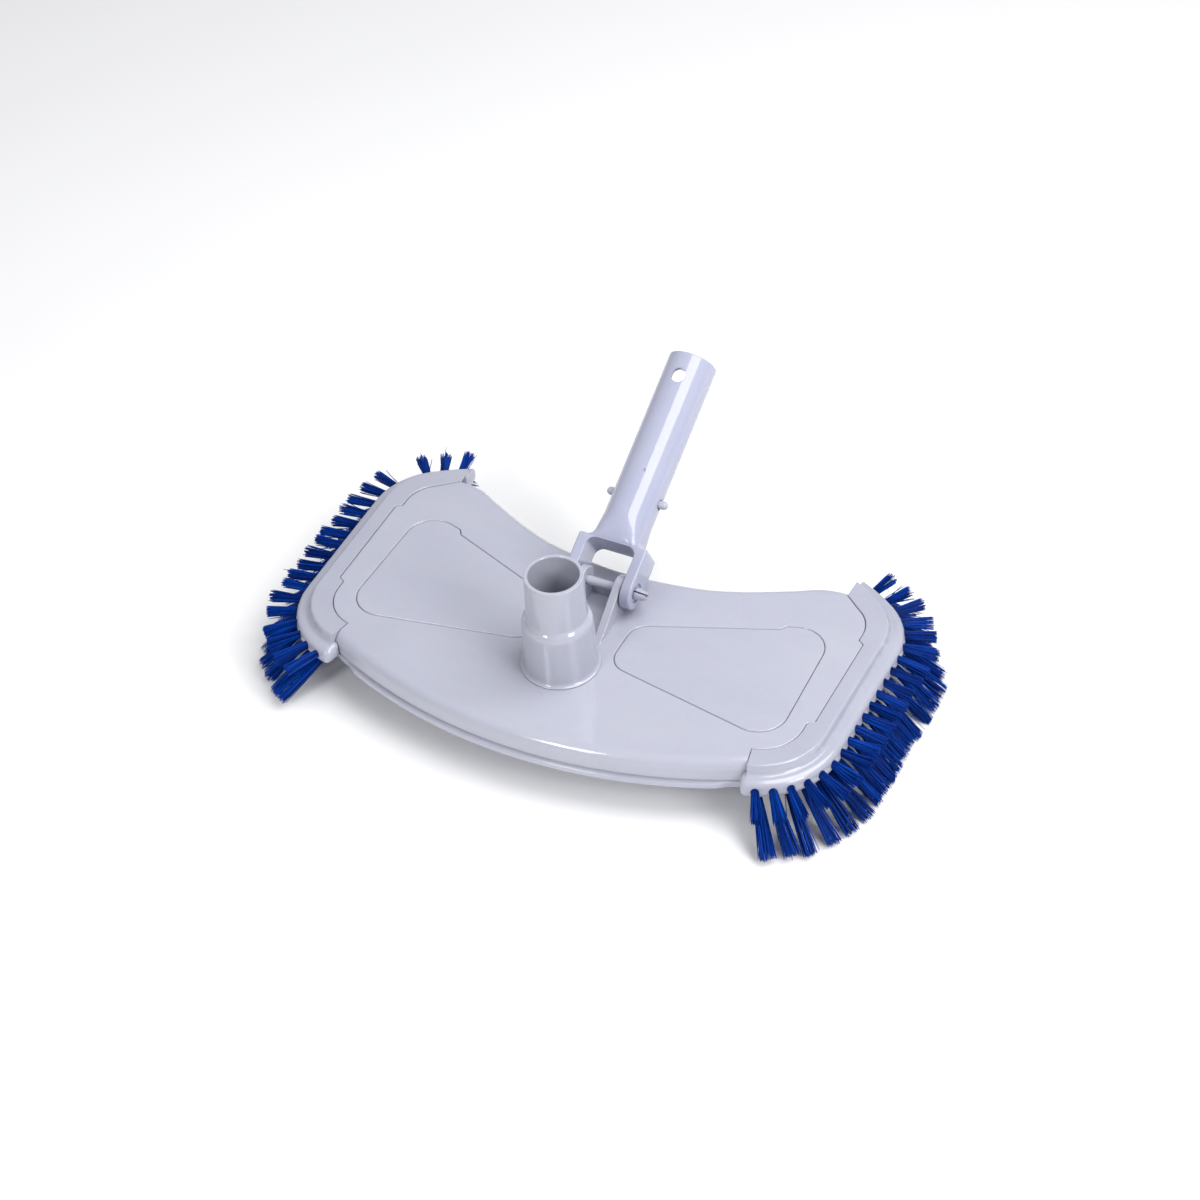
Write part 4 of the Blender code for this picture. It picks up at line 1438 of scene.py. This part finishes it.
@dataclass
class PoleHandle:
    """Tube and forked yoke, one moulding."""
    bench: Bench
    tube_radius: float = 0.0141
    tube_bore: float = 0.0115
    tube_end: float = 0.1390
    tube_floor: float = 0.0350
    tube_start: float = 0.0400
    end_round: float = 0.0009
    segments: int = 128
    root: tuple[tuple[float, float, float, float], ...] = (
        (0.0225, 0.0160, 0.0088, 9.0), (0.0228, 0.0168, 0.0096, 9.0), (0.0231, 0.0168, 0.0099, 8.0),
        (0.0234, 0.0162, 0.0100, 7.0), (0.0238, 0.0155, 0.0102, 6.0), (0.0244, 0.0149, 0.0105, 5.0),
        (0.0254, 0.0145, 0.0109, 4.3), (0.0268, 0.0142, 0.0114, 3.7), (0.0287, 0.0141, 0.0120, 3.2),
        (0.0310, 0.0141, 0.0127, 2.75), (0.0335, 0.0141, 0.0133, 2.4), (0.0360, 0.0141, 0.0138, 2.15),
        (0.0380, 0.0141, 0.01405, 2.03))
    half_width: float = 0.0210
    gap: float = 0.0147
    half_depth: float = 0.0098
    crotch: float = 0.0220
    shoulder: float = 0.0232
    edge_round: float = 0.0014
    hole_s: float = 0.1245
    hole_radius: float = 0.0042
    window: tuple[float, float, float] = (0.0128, 0.1185, 0.1365)
    window_round: float = 0.004
    button_s: float = 0.0527
    button_hole: float = 0.0031
    pin_seat: float = 0.0056
    pin_bore: float = 0.0028
    gate: tuple[float, float] = (0.0027, 0.0655)

    def prong(self) -> Solid:
        """A flat bar with a round foot and softened edges.

        Returns:
            The right prong.
        """
        depth = self.half_depth
        side = arc((0.0, 0.0), depth, 180.0, 360.0, 40)
        side += [(depth, 0.008), (depth, 0.016)]
        side += arc((depth - 0.0016, self.shoulder - 0.0016), 0.0016, 0.0, 90.0, 6)
        side += arc((0.0016 - depth, self.shoulder - 0.0016), 0.0016, 90.0, 180.0, 6)
        side += [(-depth, 0.016), (-depth, 0.008)]
        return slab(side, self.gap, self.half_width, self.edge_round, 0.0006).on_edge()

    def bridge(self) -> Solid:
        """The block that joins the prongs, hollowed below by the crotch's rounded corners.

        Returns:
            The block.
        """
        round_corner = 0.005
        left = arc((-self.gap + round_corner, self.crotch - round_corner), round_corner, 180.0, 90.0, 10)
        right = arc((self.gap - round_corner, self.crotch - round_corner), round_corner, 90.0, 0.0, 10)
        top = [(0.0180, 0.0190), (0.0180, self.shoulder - 0.0004)]
        outline = ([(x, s) for x, s in top] + [(-x, s) for x, s in reversed(top)]
                   + [(-self.gap - 0.001, 0.0165)] + left + right + [(self.gap + 0.001, 0.0165)])
        return slab(outline, -self.half_depth, self.half_depth, 0.0004, 0.0004).facing_front()

    def tube(self) -> Solid:
        """The tube, whose root flattens into the yoke's square shoulder.

        Returns:
            The tube with its root and a rounded open end, not yet bored.
        """
        radius, end = self.tube_radius, self.tube_end
        length = end - self.end_round - self.tube_start
        levels = list(self.root)
        levels += [(self.tube_start + length * k / 16, radius, radius, 2.0) for k in range(17)]
        for s, c in quarter()[1:]:
            rim = radius - self.end_round * (1.0 - c)
            levels.append((end - self.end_round * (1.0 - s), rim, rim, 2.0))
        rings: list[Ring] = []
        for height, half_width, half_depth, squareness in levels:
            ring: Ring = []
            for k in range(self.segments):
                turn = 2.0 * math.pi * (k + 0.5) / self.segments
                c, s = math.cos(turn), math.sin(turn)
                ring.append((half_width * math.copysign(abs(c) ** (2.0 / squareness), c),
                             half_depth * math.copysign(abs(s) ** (2.0 / squareness), s), height))
            rings.append(ring)
        return loft(rings)

    def build(self) -> bpy.types.Object:
        """Make the handle.

        Returns:
            The handle.
        """
        place = self.bench.to_handle
        piece = self.bench.make("handle_moulding", self.tube().through(place), Slot.HANDLE)
        half, low, high = self.window
        pane = rounded([(x, s, self.window_round)
                        for x, s in ((-half, low), (half, low), (half, high), (-half, high))], 8)
        back = loft([[(x, y, s) for x, s in pane] for y in (0.0005, 0.02)])
        upright = Matrix.Rotation(math.pi / 2, 4, "X")
        pole_hole = flared_rod(self.hole_radius, 0.0, self.tube_radius, 0.0005).through(
            Matrix.Translation((0.0, 0.0, self.hole_s)) @ upright)
        buttons = rod(self.button_hole, -0.02, 0.02, 48).along_x().shifted(0.0, 0.0, self.button_s)
        seats = flared_rod(self.pin_seat, self.half_width - 0.001, self.half_width, 0.0004).along_x()
        bore = rod(self.tube_bore, self.tube_floor, self.tube_end + 0.005, 96)
        mouth = lathe([(0.0, self.tube_end - 0.0005), (self.tube_bore - 0.0002, self.tube_end - 0.0005),
                       (self.tube_bore + 0.0007, self.tube_end + 0.0004), (0.0, self.tube_end + 0.0004)],
                      96, 0.4)
        gate = lathe([(0.0, -0.0009), (0.0006, -0.0007), (0.0009, 0.0), (0.0009, 0.0006),
                      (0.0, 0.0008)], 20)
        gate_x, gate_s = self.gate
        gate_y = -math.sqrt(self.tube_radius ** 2 - gate_x ** 2)
        gate = gate.through(Matrix.Translation((gate_x, gate_y, gate_s)) @ upright)
        steps = [
            (Carve.JOIN, self.prong().both_sides()),
            (Carve.JOIN, self.bridge()),
            (Carve.CUT, bore),
            (Carve.CUT, mouth),
            (Carve.CUT, buttons),
            (Carve.CUT, pole_hole),
            (Carve.CUT, back),
            (Carve.CUT, seats.both_sides()),
            (Carve.CUT, rod(self.pin_bore, -0.025, 0.025).along_x()),
            (Carve.CUT, gate),
        ]
        self.bench.shape(piece, [(action, solid.through(place)) for action, solid in steps])
        return self.bench.hand_over(piece, Body.HANDLE, ["handle"], Slot.HANDLE)


@dataclass
class PivotPin:
    """Pin through the ears and prongs, with a flat head and a split, winged tip."""
    bench: Bench
    radius: float = 0.0025
    seat: float = 0.0203
    head_end: float = -0.0229
    tip_end: float = 0.0278
    slot: float = 0.0009

    def build(self) -> bpy.types.Object:
        """Make the pin.

        Returns:
            The pin.
        """
        place = self.bench.to_handle
        head = [(0.0, self.head_end), (0.0034, self.head_end), (0.0042, self.head_end + 0.0002),
                (0.0046, self.head_end + 0.0006), (0.0046, -self.seat)]
        tip = [(0.0034, self.seat + 0.0001), (0.0036, self.seat + 0.0004),
               (0.0036, self.seat + 0.0014), (0.0034, self.seat + 0.0021),
               (0.0024, self.tip_end - 0.0012), (0.0018, self.tip_end - 0.0003),
               (0.0010, self.tip_end), (0.0, self.tip_end)]
        pin = lathe(head + [(self.radius, -self.seat), (self.radius, self.seat)] + tip, 48).along_x()
        piece = self.bench.make("pivot_pin_moulding", pin.through(place), Slot.PIN)
        half = self.slot / 2
        mouth = [(0.015, -half), (0.0262, -half), (0.0285, -half - 0.0008), (0.0285, half + 0.0008),
                 (0.0262, half), (0.015, half)]
        split = loft([[(x, y, z) for x, z in mouth] for y in (0.01, -0.01)])
        self.bench.shape(piece, [(Carve.CUT, split.through(place))])
        return self.bench.hand_over(piece, Body.HANDLE, ["pivot_pin"], Slot.PIN)


@dataclass
class SnapClip:
    """Springy strip inside the tube: a bow and two legs with ball buttons."""
    bench: Bench
    half_width: float = 0.0040
    outer: float = 0.0104
    inner: float = 0.0090
    hinge_s: float = 0.0880
    leg_end: float = 0.0480
    button_s: float = 0.0530
    button_radius: float = 0.0024
    button_tip: float = 0.0187

    def strip(self, outline: Outline) -> Solid:
        """A strip cut from an (x, s) outline, with softened edges."""
        return slab(outline, -self.half_width, self.half_width, 0.0003, 0.0003).facing_front()

    def build(self) -> list[bpy.types.Object]:
        """Make the bow and both legs.

        Returns:
            The three pieces.
        """
        place = self.bench.to_handle
        bow = (arc((0.0, self.hinge_s + GAP), self.outer, 0.0, 180.0, 40)
               + arc((0.0, self.hinge_s + GAP), self.inner, 180.0, 0.0, 40))
        piece = self.bench.make("clip_bow", self.strip(bow).through(place), Slot.CLIP)
        made = [self.bench.hand_over(piece, Body.HANDLE, ["clip_bridge"], Slot.CLIP)]
        leg = self.strip([(self.inner, self.leg_end), (self.outer, self.leg_end),
                          (self.outer, self.hinge_s), (self.inner, self.hinge_s)])
        dome = [(self.button_radius * c, self.button_tip - self.button_radius * (1.0 - s))
                for s, c in quarter(8)[:-1]]
        button = lathe([(0.0, self.inner + 0.0004), (self.button_radius, self.inner + 0.0004)] + dome
                       + [(0.0, self.button_tip)], 40).along_x().shifted(0.0, 0.0, self.button_s)
        for side, body in ((Side.LEFT, Body.BUTTON_LEFT), (Side.RIGHT, Body.BUTTON_RIGHT)):
            piece = self.bench.make(f"clip_leg_{side.value}_strip", leg.on(side).through(place), Slot.CLIP)
            self.bench.shape(piece, [(Carve.JOIN, button.on(side).through(place))])
            made.append(self.bench.hand_over(piece, body, [f"clip_leg_{side.value}"], Slot.CLIP))
        return made


@dataclass
class Underside:
    """Base plate and the screws that hold it and the arms."""
    bench: Bench
    head_radius: float = 0.0028
    head_height: float = 0.0017
    shank_radius: float = 0.0015
    recess_depth: float = 0.0010
    thread_depth: float = 0.0002
    thread_pitch: float = 0.0009
    recess_turn: float = 0.35

    def screw(self, name: str) -> bpy.types.Object:
        """One pan-head screw with a cross recess, in place of a frame node.

        Args:
            name: the frame node.

        Returns:
            The screw.
        """
        low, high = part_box(name)
        middle = (low + high) / 2.0 - self.bench.port
        bottom, top = low.z - self.bench.port.z, high.z - self.bench.port.z
        seat, root = bottom + self.head_height, self.shank_radius - self.thread_depth
        head = [(0.0, bottom)]
        head += [(self.head_radius * (0.55 + 0.45 * s), bottom + self.head_height * 0.62 * (1.0 - c))
                 for s, c in quarter(6)]
        head += [(self.head_radius, seat), (self.shank_radius, seat)]
        thread: Outline = []
        z = seat + self.thread_pitch * 2 / 3
        while z < top - 0.0012:
            thread += [(root, z), (self.shank_radius, z + self.thread_pitch / 3),
                       (root, z + self.thread_pitch * 2 / 3)]
            z += self.thread_pitch
        piece = self.bench.make(f"{name}_steel", lathe(head + thread + [(0.0, top)], 32)
                                .shifted(middle.x, middle.y, 0.0), Slot.STEEL)
        slots = []
        for turn in (self.recess_turn, self.recess_turn + math.pi / 2):
            bar = [(-0.0017, -0.00035), (0.0017, -0.00035), (0.0017, 0.00035), (-0.0017, 0.00035)]
            spin = [(x * math.cos(turn) - y * math.sin(turn), x * math.sin(turn) + y * math.cos(turn))
                    for x, y in bar]
            slots.append(loft([[(x * k, y * k, z) for x, y in spin]
                               for k, z in ((1.0, bottom - 0.001), (0.55, bottom + self.recess_depth))]))
        self.bench.shape(piece, [(Carve.CUT, bar.shifted(middle.x, middle.y, 0.0)) for bar in slots])
        return self.bench.hand_over(piece, Body.HEAD, [name], Slot.STEEL)

    def build(self) -> list[bpy.types.Object]:
        """Dress the plate and make the screws.

        Returns:
            The screws.
        """
        plate = frame["nodes"]["base_plate"]
        plate.data.materials[0] = self.bench.finishes[Slot.PLATE]
        names = sorted(name for name in frame["nodes"] if "screw" in name)
        return [self.screw(name) for name in names]


# Studio ----------------------------------------------------------------------------------
@dataclass(frozen=True)
class SoftBox:
    """One soft light: its place about the port, its size and its strength."""
    name: str
    place: tuple[float, float, float]
    size: tuple[float, float]
    watts: float


@dataclass
class Studio:
    """Plain pale floor, soft light and the camera."""
    bench: Bench
    camera_place: tuple[float, float, float] = (0.6943, -1.1837, 1.3282)
    camera_azimuth: float = 29.40
    camera_elevation: float = 43.11
    camera_roll: float = -4.37
    lens: float = 105.0
    sensor: float = 36.0
    floor_half: float = 4.0
    sky_strength: float = 0.47
    lights: tuple[SoftBox, ...] = field(default_factory=lambda: (
        SoftBox("left_front", (-0.32, -1.45, 1.05), (0.36, 0.60), 9.5),
        SoftBox("right_side", (1.42, -0.49, 1.05), (0.56, 0.80), 13.0),
        SoftBox("overhead", (0.42, 0.20, 1.05), (0.90, 0.80), 11.5),
    ))

    def floor(self) -> None:
        """A wide pale floor with a faint mottle."""
        grid = bmesh.new()
        bmesh.ops.create_grid(grid, x_segments=9, y_segments=9, size=self.floor_half)
        mesh = bpy.data.meshes.new("studio_floor")
        grid.to_mesh(mesh)
        grid.free()
        graph = Graph("floor_paper")
        mottle = graph.ramp(graph.noise(3.0, 3.0),
                            [(0.3, (0.875, 0.875, 0.880)), (0.7, (0.895, 0.895, 0.898))])
        graph.link(mottle, graph.shader.inputs["Base Color"])
        graph.dress(Roughness=0.85, Specular_IOR_Level=0.15)
        mesh.materials.append(graph.material)
        piece = bpy.data.objects.new("studio_floor", mesh)
        piece.location.z = -0.0002
        bpy.context.scene.collection.objects.link(piece)

    def sky(self) -> None:
        """An even pale surround, shown without a film curve so that pale stays pale."""
        world = bpy.data.worlds.new("studio_surround")
        world.use_nodes = True
        back = world.node_tree.nodes["Background"]
        back.inputs["Color"].default_value = (0.97, 0.975, 1.0, 1.0)
        back.inputs["Strength"].default_value = self.sky_strength
        bpy.context.scene.world = world
        bpy.context.scene.view_settings.view_transform = "Standard"

    def light(self, box: SoftBox) -> None:
        """Hang one soft light, turned towards the port.

        Args:
            box: the light.
        """
        data = bpy.data.lights.new(box.name, "AREA")
        data.shape = "RECTANGLE"
        data.size, data.size_y = box.size
        data.energy = box.watts
        lamp = bpy.data.objects.new(box.name, data)
        lamp.location = Vector(box.place) + self.bench.port
        aim = self.bench.port + Vector((0.0, 0.01, 0.01)) - lamp.location
        lamp.rotation_mode = "QUATERNION"
        lamp.rotation_quaternion = aim.to_track_quat("-Z", "Y")
        bpy.context.scene.collection.objects.link(lamp)

    def camera(self) -> None:
        """Place the camera and make it the scene's."""
        data = bpy.data.cameras.new("view")
        data.lens, data.sensor_width = self.lens, self.sensor
        data.clip_start, data.clip_end = 0.05, 50.0
        a, e = math.radians(self.camera_azimuth), math.radians(self.camera_elevation)
        roll = math.radians(self.camera_roll)
        back = Vector((math.sin(a) * math.cos(e), -math.cos(a) * math.cos(e), math.sin(e)))
        right = Vector((math.cos(a), math.sin(a), 0.0))
        up = back.cross(right)
        across = right * math.cos(roll) + up * math.sin(roll)
        rise = up * math.cos(roll) - right * math.sin(roll)
        camera = bpy.data.objects.new("view", data)
        turn = Matrix((across, rise, back)).transposed().to_4x4()
        camera.matrix_world = Matrix.Translation(Vector(self.camera_place) + self.bench.port) @ turn
        bpy.context.scene.collection.objects.link(camera)
        bpy.context.scene.camera = camera

    def build(self) -> None:
        """Set up the studio."""
        self.floor()
        self.sky()
        for box in self.lights:
            self.light(box)
        self.camera()


def corners(box: tuple[Vector, Vector]) -> list[list[float]]:
    """A box's two corners as plain lists of numbers."""
    return [[float(value) for value in corner] for corner in box]


def main() -> None:
    """Build every piece of the head, then the studio."""
    logging.basicConfig(level=logging.INFO, format="%(message)s")
    bench = Bench(Finishes())
    plan = HeadPlan()
    BodyShell(bench, plan).build()
    HoseSpigot(bench).build()
    WeightCovers(bench, plan).build()
    for number, side in enumerate(Side):
        arm = BrushArm(bench, plan, side)
        arm.build()
        lost = (17,) if side is Side.LEFT else ()
        BristleRow(bench, arm, Tier.UPPER, 11 + number, lost).build()
        BristleRow(bench, arm, Tier.LOWER, 31 + number).build()
    PoleHandle(bench).build()
    PivotPin(bench).build()
    SnapClip(bench).build()
    Underside(bench).build()
    Studio(bench).build()


if __name__ == "__main__":
    main()
